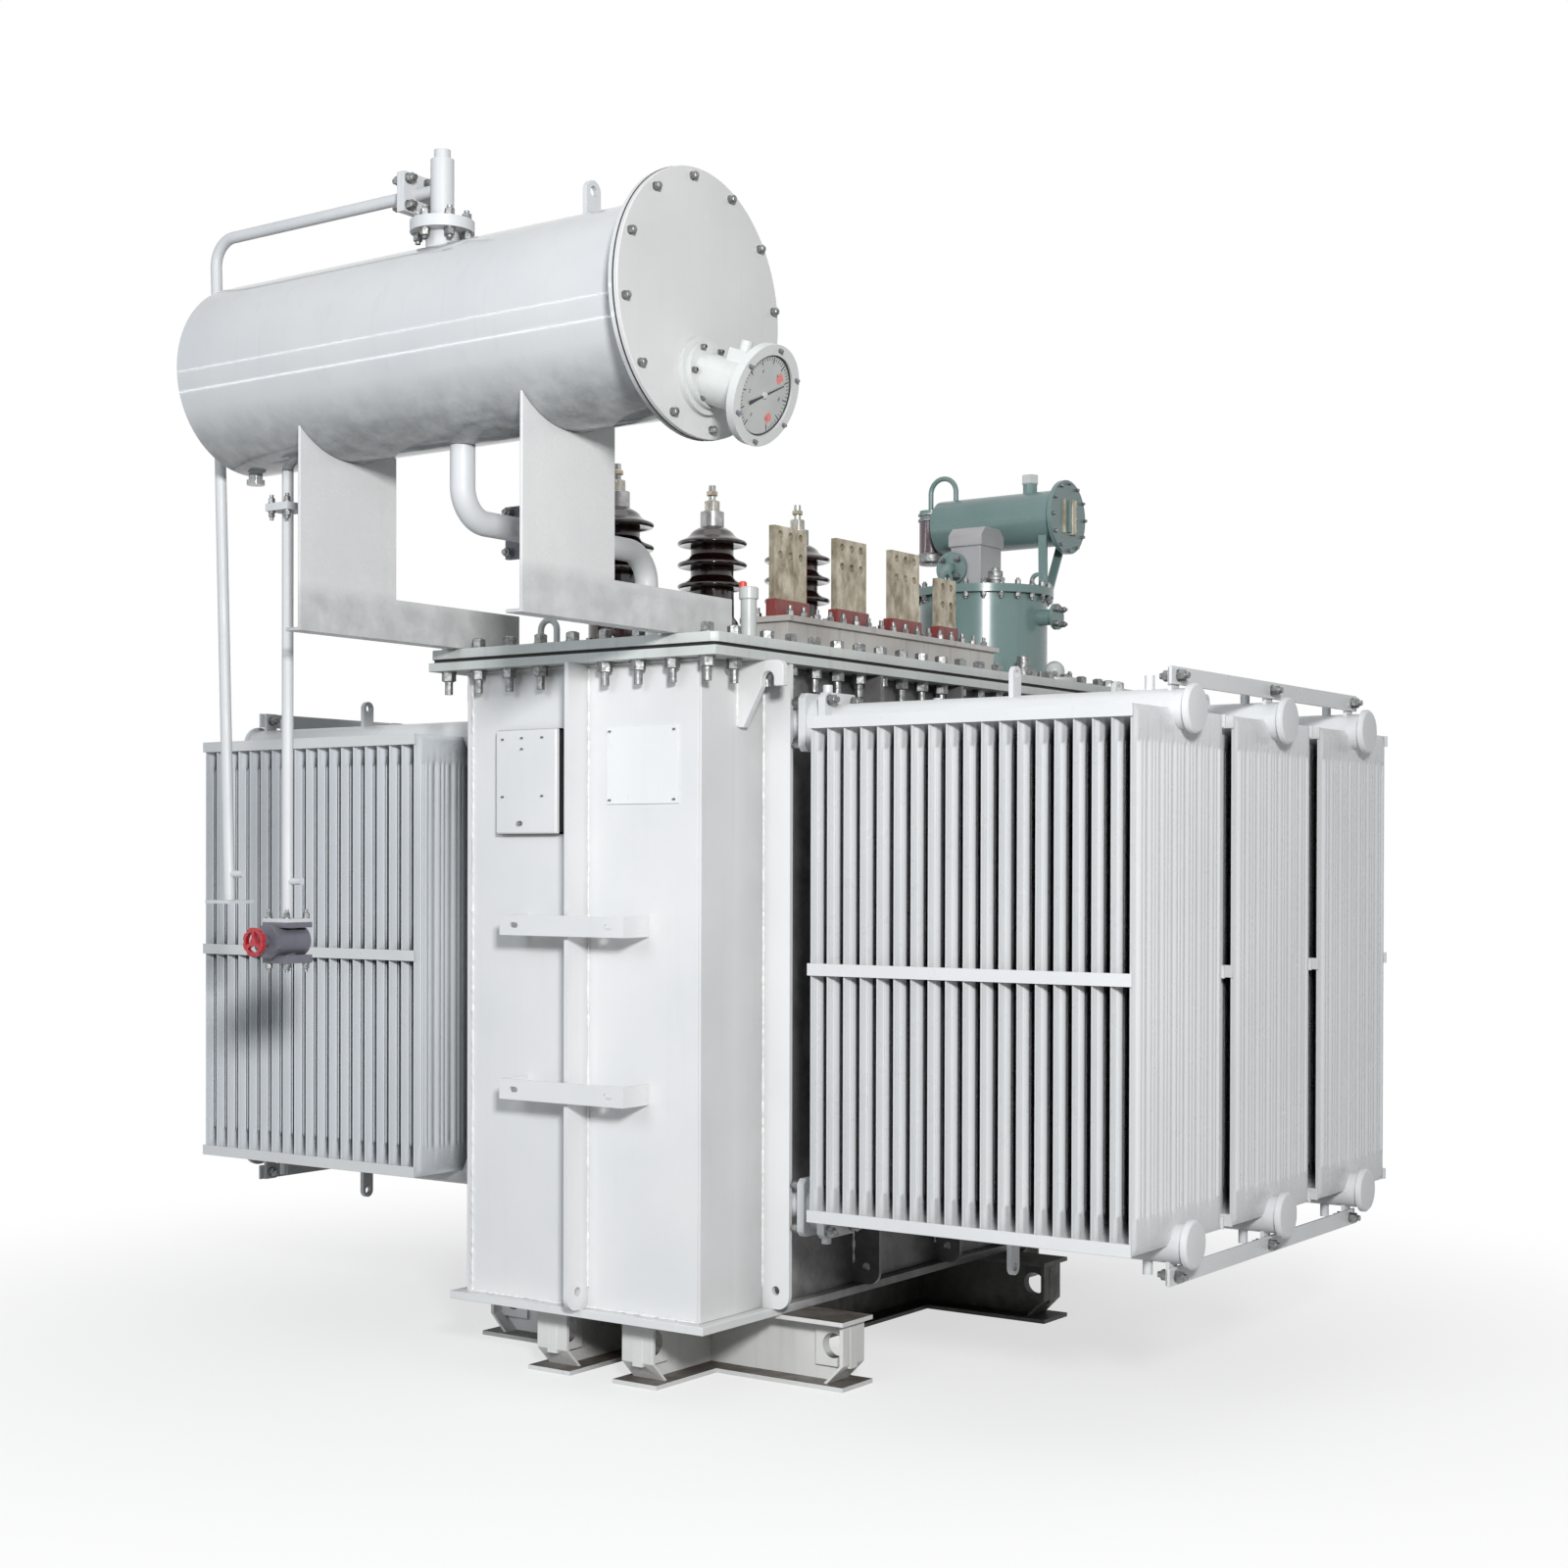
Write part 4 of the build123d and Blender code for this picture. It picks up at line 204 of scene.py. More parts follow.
    dent = add(tree, "ShaderNodeBump", {"Height": skin.outputs["Fac"], "Strength": peel, "Distance": 1.2 * MM})
    tree.links.new(dent.outputs[0], surface.inputs["Normal"])
    return material


# Each line: name; colours of coat, shade, dirt and painted shade, and dust; runs, crevice dirt and painted shade,
# dust, roughness; chips and the band of dirt and painted shade
# Tank: clean light grey, a satin with a soft sheen
tank_paint = paint("alkyd_paint_light_grey", "#E3E3E3", "#DDDEDE", "#B3B0A8", "#CBC9C3", 0.05, 0.3, 0.3, 0.34, 0.35)
# Side walls and ribs: the same grey, painted near black as shade where the radiators stand before them and shelter them
wall_paint = paint("alkyd_paint_side_wall", "#E2E2E2", "#DADBDB", "#2B2927", "#C6C3BC", 0.06, 0.5, 0.3, 0.36, 0.5,
                   ("Y", 900, 620, 0.93), shelter=(120, 0.15, 0.5))
rib_paint = paint("alkyd_paint_ribs", "#E3E3E3", "#DDDEDE", "#2B2927", "#C6C3BC", 0.04, 0.3, 0.3, 0.34, 0.35,
                  ("Y", 772, 560, 0.9))
# Saddles: greyer towards their feet, and a little glossier
saddle_paint = paint("alkyd_paint_saddle_grey_at_feet", "#DDDDDD", "#D5D6D6", "#7E7E80", "#B4B2AD", 0.05, 0.3, 0.5, 0.26,
                     0.3, ("Z", 1930, 1890, 0.4))
# Barrel: a full gloss that mirrors the lamps as long streaks, with painted shade darkening its underside
barrel_paint = paint("alkyd_paint_gloss_grey", "#D2D4D5", "#CACCCE", "#6E7272", "#B4B1AA", 0.06, 0.3, 0.45, 0.085,
                     0.3, ("Z", 2350, 2225, 0.85), peel=0.012)
# End plates: a plain grey with some gloss
disc_paint = paint("alkyd_paint_end_plates", "#D3D3D3", "#CBCBCB", "#95928B", "#A8A59D", 0.06, 0.3, 0.5, 0.22, 0.3)
# Cover and low-voltage box: greenish and brownish under a film of oil and dust
cover_paint = paint("alkyd_paint_soiled_cover", "#D0D5D2", "#C0C5C2", "#605C54", "#8B877E", 0.16, 0.35, 0.7, 0.34, 0.5)
turret_paint = paint("alkyd_paint_oily_turret", "#D2CFCB", "#A9A5A0", "#403A34", "#8A847C", 0.32, 0.5, 0.8, 0.3, 0.8)
# Radiators: a cool light grey, with painted shadow deep between the panels; the shaded side takes a bluer copy
# with more painted shade and the painted shadow nearer the edge
radiator_paint = paint("alkyd_paint_radiator", "#DADBDC", "#D3D5D6", "#8A8A8B", "#CCCBC6", 0.03, 0.25, 0.3, 0.3, 0.3)
panel_paint = paint("alkyd_paint_pressed_panel", "#DDDEDF", "#D7D9DA", "#9A9B9D", "#CCCBC6", 0.02, 0.3, 0.2, 0.28,
                    shelter=(120, 0.1, 0.4), peel=0.05, slit_shadow=(42, 52, "#242527"))
shaded_panel_paint = paint("alkyd_paint_panel_shaded_side", "#DCE0E4", "#D6DADE", "#343A3F", "#C3C6C6", 0.02, 0.8, 0.2, 0.3,
                           shelter=(450, 0.08, 0.26), peel=0.05, slit_shadow=(17, 26, "#2A3036"))
# Pipes: a duller grey, brushed on
pipe_paint = paint("alkyd_paint_pipes", "#D6D8D9", "#CED0D2", "#8C8B87", "#B4B2AD", 0.05, 0.3, 0.4, 0.45, 0.3)
# Base: grey at its ends, painted nearly black as shade under the tank
base_paint = paint("alkyd_paint_base_shaded_under_tank", "#E2E2E0", "#D8D8D5", "#2E2A27", "#4A3F36", 0.1, 0.92, 0.95, 0.5,
                   dirt_and_shade_band=("Y", 600, 420, 0.97), shelter=(300, 0.03, 0.16))
# Tap changer: smooth teal with a gloss
teal_paint = paint("alkyd_paint_teal", "#7A9391", "#6F8886", "#33443F", "#9DAAA5", 0.08, 0.4, 0.35, 0.24, 0.2,
                   peel=0.02)
# Gearbox, valve and handwheel: lacquered casting, dark paint on cast iron and bright red enamel
alloy_paint = paint("die_cast_aluminium_lacquer", "#B9B7B8", "#A9A8AC", "#5E5D62", "#CDC8C4", 0.12, 0.4, 0.4, 0.32)
iron_paint = paint("cast_iron_dark_grey_paint", "#7C7C86", "#6A6A74", "#333236", "#8B8987", 0.2, 0.4, 0.4, 0.42)
wheel_paint = paint("cast_iron_red_enamel", "#C7202E", "#B01926", "#5A1216", "#B8474B", 0.1, 0.3, 0.2, 0.28)
# Plate and gauge: white and off-white lacquer, nearly clean
plate_paint = paint("sheet_aluminium_white_lacquer", "#E9EBEB", "#E5E7E8", "#B4B2AB", "#D0CFCA", 0.04, 0.2, 0.2, 0.3)
gauge_paint = paint("die_cast_white_lacquer", "#D2D4D2", "#C8CBC9", "#8E918D", "#BDBFBB", 0.1, 0.35, 0.3, 0.3)
print("paints:", len(bpy.data.materials))

# %% [markdown]
# ## Bare materials
# Zinc on the bolts, rubber in the joint under the cover, brown glaze on the bushings, tarnished brass on the
# terminal bars and dull red resin under them. Each has one or two patterns of its own: spangle and stain on metal,
# a thin dust on glaze, vertical marks on resin.

# %% Metal, rubber, glaze and resin


def mottled(name, shader, colours, grain, contrast, rough_span, relief):
    """A finish of two colours in blotches of a real size, with the roughness following them."""
    material, tree, surface, spot = new_material(name, shader)
    stretch = add(tree, "ShaderNodeMapping", {"Vector": spot, "Scale": tuple(1 / (g * MM) for g in grain)})
    blotch = add(tree, "ShaderNodeTexNoise", {"Vector": stretch, "Scale": 1.0, "Detail": 6.0,
                                              "Roughness": 0.62})
    spread = add(tree, "ShaderNodeMapRange", {"Value": blotch.outputs["Fac"], "From Min": 0.5 - contrast,
                                              "From Max": 0.5 + contrast})
    mix = add(tree, "ShaderNodeMix",
              {0: spread, 6: linear(colours[0]), 7: linear(colours[1])}, data_type="RGBA")
    tree.links.new(mix.outputs[2], surface.inputs["Base Color"])
    rough = add(tree, "ShaderNodeMapRange", {"Value": blotch.outputs["Fac"], "From Min": 0.3, "From Max": 0.7,
                                             "To Min": rough_span[0], "To Max": rough_span[1]})
    tree.links.new(rough.outputs[0], surface.inputs["Roughness"])
    dent = add(tree, "ShaderNodeBump", {"Height": blotch.outputs["Fac"], "Strength": 0.3, "Distance": relief * MM})
    tree.links.new(dent.outputs[0], surface.inputs["Normal"])
    return material


# Zinc plate: bright grey metal, clouded where the passivation has worn
zinc = mottled("zinc_plated_steel", {"Metallic": 1.0}, ("#A2A3A2", "#666768"), (9, 9, 9), 0.2, (0.42, 0.62), 0.2)
# Nitrile rubber: black and matt, edge of the gasket
rubber = mottled("nitrile_rubber", {"IOR": 1.52}, ("#1B1B1A", "#2B2A28"), (14, 14, 14), 0.2, (0.6, 0.8), 0.4)
# Brown glaze: nearly black, glassy, with a film of dust that dulls it in places
glaze = mottled("brown_glazed_porcelain", {"IOR": 1.5, "Coat Weight": 0.6, "Coat Roughness": 0.04},
                ("#1E0D0B", "#2C1512"), (40, 40, 18), 0.25, (0.08, 0.2), 0.1)
# Tarnished brass: pale khaki metal, brushed upright and gone brown in streaks
brass = mottled("tarnished_brass", {"Metallic": 0.5}, ("#CFC6B3", "#877B66"), (34, 34, 60), 0.17, (0.36, 0.56), 0.15)
# Machined brass: nuts gone pale and brownish, brighter where a spanner has been
bright_brass = mottled("machined_brass", {"Metallic": 1.0}, ("#BDB59E", "#857C66"), (12, 12, 12), 0.25, (0.24, 0.42),
                       0.1)
# Tinned copper: pale silver, smooth and hardly stained
tinned_copper = mottled("tinned_copper", {"Metallic": 1.0}, ("#BFBFBE", "#8E8E8F"), (20, 20, 20), 0.22, (0.32, 0.46),
                        0.1)
# Polythene plug: plain bright red
red_plastic = mottled("polythene_red", {"IOR": 1.51}, ("#DE4F3C", "#CF4534"), (8, 8, 8), 0.25, (0.35, 0.45), 0.05)
# Moulded phenolic resin: dull dark red with paler handling marks
resin = mottled("phenolic_resin_red", {"IOR": 1.55}, ("#8E3A36", "#6E2A27"), (18, 18, 60), 0.2, (0.24, 0.42), 0.2)
# Gel in a clear cup: brown grains behind a glossy skin
gel = mottled("silica_gel_in_clear_cup", {"IOR": 1.49, "Coat Weight": 0.9, "Coat Roughness": 0.06},
              ("#5E404A", "#2E1C1F"), (5, 5, 5), 0.15, (0.35, 0.5), 0.5)
# Printed tin dial behind glass: pale grey, with the glass as a clear coat
dial_tin = mottled("printed_tin_dial", {"IOR": 1.5, "Coat Weight": 1.0, "Coat Roughness": 0.03},
                   ("#B4B6B4", "#9DA09E"), (120, 120, 120), 0.25, (0.4, 0.5), 0.05)
dial_red = mottled("dial_ink_red", {"IOR": 1.5, "Coat Weight": 1.0, "Coat Roughness": 0.03},
                   ("#DC756F", "#D0655F"), (6, 6, 6), 0.25, (0.4, 0.5), 0.02)
dial_ink = mottled("dial_ink_black", {"IOR": 1.5}, ("#242526", "#303132"), (6, 6, 6), 0.25, (0.4, 0.55), 0.02)
print("bare materials made, in all:", len(bpy.data.materials))

# %% [markdown]
# ## Dressing a CAD piece
# Rolled and cut plate never has a razor edge: grinding and paint leave a radius of a millimetre or two, and that
# thin highlight is what makes steel look thick. The CAD mesh itself must stay as it is, so each piece is a copy
# with its loose triangles merged, its flat faces joined and its sharp edges bevelled.

# %% The dressing tool
FLAT_TO = math.radians(0.5)
SHARP_FROM = math.radians(30)
# A bevel in two steps turns a square edge by 22.5 degrees a step, so the crease lies just below that
CREASE = 21


def show(name, mesh, body="transformer", stands_for=()):
    """Links a finished mesh as a piece that rides on a body."""
    thing = bpy.data.objects.new(name, mesh)
    bpy.context.scene.collection.objects.link(thing)
    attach(thing, body)
    if stands_for:
        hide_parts(*stands_for)
    print(name, "faces:", len(mesh.polygons))


def keep_mesh(work, name, material, crease=CREASE):
    """Turns a bmesh into a mesh that is smooth but for its real edges."""
    mesh = bpy.data.meshes.new(name)
    work.to_mesh(mesh)
    work.free()
    # Normals stored for the CAD triangles no longer fit the merged faces
    stored = mesh.attributes.get("custom_normal")
    if stored:
        mesh.attributes.remove(stored)
    mesh.materials.clear()
    mesh.materials.append(material)
    mesh.shade_smooth()
    mesh.set_sharp_from_angle(angle=math.radians(crease))
    return mesh


def dress(node, material, edge=1.5):
    """A copy of a CAD node with softened edges, in the node's place."""
    work = bmesh.new()
    work.from_mesh(frame["nodes"][node].data)
    bmesh.ops.remove_doubles(work, verts=work.verts, dist=1e-5)
    bmesh.ops.dissolve_limit(work, angle_limit=FLAT_TO, verts=work.verts, edges=work.edges)
    sharp = [e for e in work.edges if e.is_manifold and e.calc_face_angle(0.0) > SHARP_FROM]
    bmesh.ops.bevel(work, geom=sharp, offset=edge * MM, segments=2, profile=0.5, affect="EDGES", clamp_overlap=True)
    show(node + "_dressed", keep_mesh(work, node, material), BODY_OF[node], [node])


# %% [markdown]
# ## The tank on its beams
# The tank is a welded box of plate on four beams. Its walls and ribs keep the clean paint, with painted shade where
# the radiators stand before them. The rim and the cover carry years of oil and dirt and take the soiled paints, and
# the beams take a paint that is painted nearly black as shade under the tank.

# %% Tank, cover and base
for node in ("tank_end_walls", "lifting_hooks", "front_brackets", "front_cabinet"):
    dress(node, tank_paint, 2)
dress("tank_side_walls", wall_paint, 2)
dress("wall_stiffeners", rib_paint, 2)
dress("tank_floor", rib_paint, 1.5)
for node in ("tank_rim", "tank_cover", "cover_fittings"):
    dress(node, cover_paint, 1.5)
dress("lv_turret", turret_paint, 1.5)
for node in ("base_long_beams", "base_cross_beams"):
    dress(node, base_paint, 2)
dress("cover_gasket", rubber, 1)
dress("front_plate", plate_paint, 0.8)

# %% [markdown]
# ## The oil barrel, its saddles and its pipes
# The conservator is a rolled barrel with a bolted end. Cylinders from CAD are fine enough to stay round here, so
# they only need their edges softened and the paint.

# %% Barrel, saddles, pipes and relay
dress("conservator_barrel", barrel_paint, 2)
for node in ("conservator_blind_end", "conservator_end_cover"):
    dress(node, disc_paint, 2)
dress("conservator_saddles", saddle_paint, 2)
for node in ("conservator_pipes", "breather_riser", "relay_pipe"):
    dress(node, pipe_paint, 1)
for node in ("drain_valve", "gas_relay"):
    dress(node, iron_paint, 2)
dress("drain_handwheel", wheel_paint, 2.5)
dress("oil_level_gauge", gauge_paint, 2)

# %% [markdown]
# ## Radiator frames
# Headers, flat bars, valves and tie bars hold the radiators together.

# %% Headers, valves and tie bars
for node in ("radiator_headers_left", "radiator_headers_right", "radiator_valves", "radiator_tie_bars"):
    dress(node, radiator_paint, 1.5)

# %% [markdown]
# ## Terminals and the tap changer
# Tarnished bars on red blocks carry the low voltage, and the teal unit at the back is the tap changer.

# %% Terminals and tap changer
dress("lv_bars", brass, 1)
dress("lv_blocks", resin, 3)
dress("hv_terminals", tinned_copper, 2)
for node in ("tap_changer_tank", "tap_changer_lid", "tap_changer_conservator"):
    dress(node, teal_paint, 1.5)
dress("tap_changer_gearbox", alloy_paint, 3)
dress("tap_changer_breather", teal_paint, 1)

# %% [markdown]
# ## Growing meshes with Geometry Nodes
# Bolts, beads, panels and ticks repeat by the dozen, which is what Geometry Nodes are for. Each tree is built here
# with named inputs. A helper sets the inputs by their identifiers, evaluates the tree once and keeps the result as
# a plain mesh, because the modifier itself doesn't travel with the exported part.

# %% Helpers for node trees


def new_tree(name, inputs):
    """A Geometry Nodes tree with named inputs; gives the tree, its input sockets and its end."""
    tree = bpy.data.node_groups.new(name, "GeometryNodeTree")
    tree.interface.new_socket("Geometry", in_out="INPUT", socket_type="NodeSocketGeometry")
    for label, kind in inputs:
        tree.interface.new_socket(label, in_out="INPUT", socket_type="NodeSocket" + kind)
    tree.interface.new_socket("Geometry", in_out="OUTPUT", socket_type="NodeSocketGeometry")
    start = add(tree, "NodeGroupInput").outputs
    return tree, start, add(tree, "NodeGroupOutput").inputs[0]


def grow(name, source, tree, settings, stands_for=(), crease=None):
    """Runs a tree on a source mesh and shows the plain mesh that it gives."""
    thing = bpy.data.objects.new(name, source)
    bpy.context.scene.collection.objects.link(thing)
    modifier = thing.modifiers.new("grow", "NODES")
    modifier.node_group = tree
    for item in tree.interface.items_tree:
        if item.in_out == "INPUT" and item.name in settings:
            modifier[item.identifier] = settings[item.name]
    seen = thing.evaluated_get(bpy.context.evaluated_depsgraph_get())
    mesh = bpy.data.meshes.new_from_object(seen)
    bpy.data.objects.remove(thing)
    if crease:
        mesh.shade_smooth()
        mesh.set_sharp_from_angle(angle=math.radians(crease))
    show(name, mesh, "transformer", stands_for)


print("node trees so far:", len(bpy.data.node_groups))


# %% [markdown]
# ## Pressed radiator panels
# Each panel is two thin sheets pressed with seven flutes, seam-welded at the edges and hung between the headers.
# It could be modelled by hand and copied, but its shape is a rule: flat seam, flutes across with two thin beads on
# each, plain heads at both ends. So one tree bends a grid by that rule, mirrors it, closes the edge and repeats it
# along the header.

# %% The panel tree
panel_tree, panel, panel_end = new_tree("pressed_panel", [
    ("Width", "Float"), ("Height", "Float"), ("Flutes", "Int"), ("Seam Half", "Float"), ("Root Half", "Float"),
    ("Crest Half", "Float"), ("Bead Depth", "Float"), ("Groove Half", "Float"), ("Head", "Float"),
    ("Flange", "Float"), ("Material", "Material")])
SEAM_COLUMNS = 3
COLUMNS_PER_FLUTE = 16
PANEL_ROWS = 17
inner = add(panel_tree, "ShaderNodeMath", {0: panel["Flutes"], 1: COLUMNS_PER_FLUTE}, operation="MULTIPLY")
columns = add(panel_tree, "ShaderNodeMath", {0: inner, 1: 2 * SEAM_COLUMNS + 1}, operation="ADD")
sheet = add(panel_tree, "GeometryNodeMeshGrid", {"Size X": panel["Width"], "Size Y": panel["Height"],
                                                 "Vertices X": columns, "Vertices Y": PANEL_ROWS})
spot = add(panel_tree, "ShaderNodeSeparateXYZ", {0: add(panel_tree, "GeometryNodeInputPosition").outputs[0]})

# %% Rows drawn close together where the grooves end
half_high = add(panel_tree, "ShaderNodeMath", {0: panel["Height"], 1: 0.5}, operation="MULTIPLY")
along = add(panel_tree, "ShaderNodeMath", {0: spot.outputs["Y"], 1: half_high}, operation="DIVIDE")
share = add(panel_tree, "ShaderNodeMath", {0: along}, operation="ABSOLUTE")
rows = add(panel_tree, "ShaderNodeFloatCurve", {"Value": share})
ROW_REACHES = (0.70, 0.845, 0.86, 0.872, 0.886, 0.975, 0.992)
for step, reach in enumerate(ROW_REACHES):
    rows.mapping.curves[0].points.new((step + 1) / (len(ROW_REACHES) + 1), reach)
rows.mapping.update()
side = add(panel_tree, "ShaderNodeMath", {0: along}, operation="SIGN")
away = add(panel_tree, "ShaderNodeMath", {0: rows, 1: half_high}, operation="MULTIPLY")
high = add(panel_tree, "ShaderNodeMath", {0: away, 1: side}, operation="MULTIPLY")
from_end = add(panel_tree, "ShaderNodeMath", {0: half_high, 1: away}, operation="SUBTRACT")

# %% Flutes across the sheet, counted from the inner edge of the seam
FIRST_CREST = 0.25
SHOULDER = (-0.06, 0.22)
across = add(panel_tree, "ShaderNodeMath", {0: spot.outputs["X"], 1: panel["Width"]}, operation="DIVIDE")
last = add(panel_tree, "ShaderNodeMath", {0: inner, 1: SEAM_COLUMNS}, operation="ADD")
column = add(panel_tree, "ShaderNodeMapRange", {"Value": across, "From Min": -0.5, "From Max": 0.5,
                                                "To Min": -SEAM_COLUMNS, "To Max": last})
turns = add(panel_tree, "ShaderNodeMath", {0: column, 1: COLUMNS_PER_FLUTE}, operation="DIVIDE")
left = add(panel_tree, "ShaderNodeMath", {0: panel["Flutes"], 1: turns}, operation="SUBTRACT")
inset = add(panel_tree, "ShaderNodeMath", {0: turns, 1: left}, operation="MINIMUM")
kept = add(panel_tree, "ShaderNodeMath", {0: inset, 1: FIRST_CREST}, operation="MAXIMUM")
wave = add(panel_tree, "ShaderNodeMath", {0: kept, 1: 0.5}, operation="PINGPONG")
body_x = add(panel_tree, "ShaderNodeMapRange",
             {"Value": inset, "From Min": SHOULDER[0], "From Max": SHOULDER[1]}, interpolation_type="SMOOTHSTEP")

# %% Main grooves with rounded tips, and two thin beads on every crest
BEAD_AT, BEAD_HALF = 0.375, 0.04
EDGE_BEADS, EDGE_BEAD_HALF = (0.125, 0.25), 0.03
FLANGE_START = 4 * MM
tip = add(panel_tree, "ShaderNodeMath", {0: panel["Head"], 1: panel["Groove Half"]}, operation="ADD")
short = add(panel_tree, "ShaderNodeMath", {0: tip, 1: from_end}, operation="SUBTRACT")
over = add(panel_tree, "ShaderNodeMath", {0: short, 1: 0.0}, operation="MAXIMUM")
column_width = add(panel_tree, "ShaderNodeMath", {0: panel["Width"], 1: columns}, operation="DIVIDE")
flute = add(panel_tree, "ShaderNodeMath", {0: column_width, 1: COLUMNS_PER_FLUTE}, operation="MULTIPLY")
off = add(panel_tree, "ShaderNodeMath", {0: wave, 1: flute}, operation="MULTIPLY")
gap = add(panel_tree, "ShaderNodeCombineXYZ", {"X": off, "Y": over})
distance = add(panel_tree, "ShaderNodeVectorMath", {0: gap}, operation="LENGTH")
groove = add(panel_tree, "ShaderNodeMapRange",
             {"Value": distance.outputs["Value"], "From Max": panel["Groove Half"], "To Min": 1.0, "To Max": 0.0},
             interpolation_type="SMOOTHSTEP")
bead_off = add(panel_tree, "ShaderNodeMath", {0: wave, 1: BEAD_AT, 2: BEAD_HALF}, operation="COMPARE")
for edge_bead in EDGE_BEADS:
    line = add(panel_tree, "ShaderNodeMath", {0: inset, 1: edge_bead, 2: EDGE_BEAD_HALF}, operation="COMPARE")
    bead_off = add(panel_tree, "ShaderNodeMath", {0: bead_off, 1: line}, operation="MAXIMUM")
bead_end = add(panel_tree, "ShaderNodeMapRange", {"Value": over, "From Max": panel["Groove Half"],
                                                  "To Min": 1.0, "To Max": 0.0})
bead_dip = add(panel_tree, "ShaderNodeMath", {0: bead_off, 1: bead_end}, operation="MULTIPLY")
body_z = add(panel_tree, "ShaderNodeMapRange", {"Value": from_end, "From Min": FLANGE_START,
                                                "From Max": panel["Flange"]})

# %% Half thickness at every point, and both sides of the panel
SEAM_WIDTH = 12 * MM
END_ROUND = 2 * MM
MERGE_GAP = 0.02 * MM
swell = add(panel_tree, "ShaderNodeMath", {0: body_x, 1: body_z}, operation="MULTIPLY")
depth = add(panel_tree, "ShaderNodeMath", {0: panel["Crest Half"], 1: panel["Root Half"]}, operation="SUBTRACT")
dip = add(panel_tree, "ShaderNodeMath", {0: groove, 1: depth}, operation="MULTIPLY")
low = add(panel_tree, "ShaderNodeMath", {0: panel["Crest Half"], 1: dip}, operation="SUBTRACT")
scored = add(panel_tree, "ShaderNodeMath", {0: bead_dip, 1: panel["Bead Depth"]}, operation="MULTIPLY")
crest = add(panel_tree, "ShaderNodeMath", {0: low, 1: scored}, operation="SUBTRACT")
half = add(panel_tree, "ShaderNodeMapRange", {"Value": swell, "To Min": panel["Seam Half"],
                                              "To Max": crest})
edge = add(panel_tree, "ShaderNodeMapRange",
           {"Value": inset, "From Min": -SEAM_COLUMNS / COLUMNS_PER_FLUTE,
            "From Max": (1 - SEAM_COLUMNS) / COLUMNS_PER_FLUTE})
end = add(panel_tree, "ShaderNodeMapRange", {"Value": from_end, "From Max": END_ROUND})
closing = add(panel_tree, "ShaderNodeMath", {0: edge, 1: end}, operation="MULTIPLY")
thick = add(panel_tree, "ShaderNodeMath", {0: half, 1: closing}, operation="MULTIPLY")
pressed = add(panel_tree, "ShaderNodeCombineXYZ", {"X": spot.outputs["X"], "Y": high, "Z": thick})
near = add(panel_tree, "GeometryNodeSetPosition", {"Geometry": sheet, "Position": pressed})
from_edge = add(panel_tree, "ShaderNodeMath", {0: inset, 1: flute, 2: SEAM_WIDTH},
                operation="MULTIPLY_ADD")
near = add(panel_tree, "GeometryNodeStoreNamedAttribute",
           {"Geometry": near, "Name": "inset", "Value": from_edge}, data_type="FLOAT")
turned = add(panel_tree, "GeometryNodeTransform", {"Geometry": near, "Scale": (1, 1, -1)})
far = add(panel_tree, "GeometryNodeFlipFaces", {"Mesh": turned})
both = add(panel_tree, "GeometryNodeJoinGeometry")
for face in (near, far):
    panel_tree.links.new(face.outputs[0], both.inputs[0])
closed = add(panel_tree, "GeometryNodeMergeByDistance", {"Geometry": both, "Distance": MERGE_GAP})

# %% Stand the panel up, repeat it at the source's points and give it paint
standing = add(panel_tree, "GeometryNodeTransform",
               {"Geometry": closed, "Rotation": (math.pi / 2, 0, math.pi / 2)})
row = add(panel_tree, "GeometryNodeInstanceOnPoints", {"Points": panel["Geometry"], "Instance": standing})
real = add(panel_tree, "GeometryNodeRealizeInstances", {0: row})
painted = add(panel_tree, "GeometryNodeSetMaterial", {"Geometry": real, "Material": panel["Material"]})
panel_tree.links.new(painted.outputs[0], panel_end)
print("panel tree nodes:", len(panel_tree.nodes))

# %% Six radiators of nineteen panels
PANEL_SIZES = {"Width": 468 * MM, "Height": 1170 * MM, "Flutes": 7, "Seam Half": 1.5 * MM, "Root Half": 2.2 * MM,
               "Crest Half": 6.5 * MM, "Bead Depth": 2.2 * MM, "Groove Half": 12 * MM, "Head": 68 * MM,
               "Flange": 13 * MM}
RADIATOR_YS = (310, 830, 1350)
PANELS, PANEL_PITCH, FIRST_PANEL_X, PANEL_MIDDLE_Z = 19, 45, 630, 1029
for side, sign, coat in (("right", 1, panel_paint), ("left", -1, shaded_panel_paint)):
    for number, y in enumerate(RADIATOR_YS):
        points = bpy.data.meshes.new("panel_places")
        points.from_pydata([place(sign * (FIRST_PANEL_X + PANEL_PITCH * n), y, PANEL_MIDDLE_Z)
                            for n in range(PANELS)], [], [])
        node = "radiator_%s_%d" % (side, number + 1)
        grow(node + "_panels", points, panel_tree, {**PANEL_SIZES, "Material": coat}, [node], 35)

# %% [markdown]
# ## Hexagon bolts and nuts
# The cover alone has more than fifty bolts, with nuts and stud ends under the rim. One tree makes a washer, a
# hexagon, its chamfered crown and a stud end, and sets a copy on each point of a mesh, turned to that point's own
# direction and spun by a seeded random angle, as a spanner leaves them.

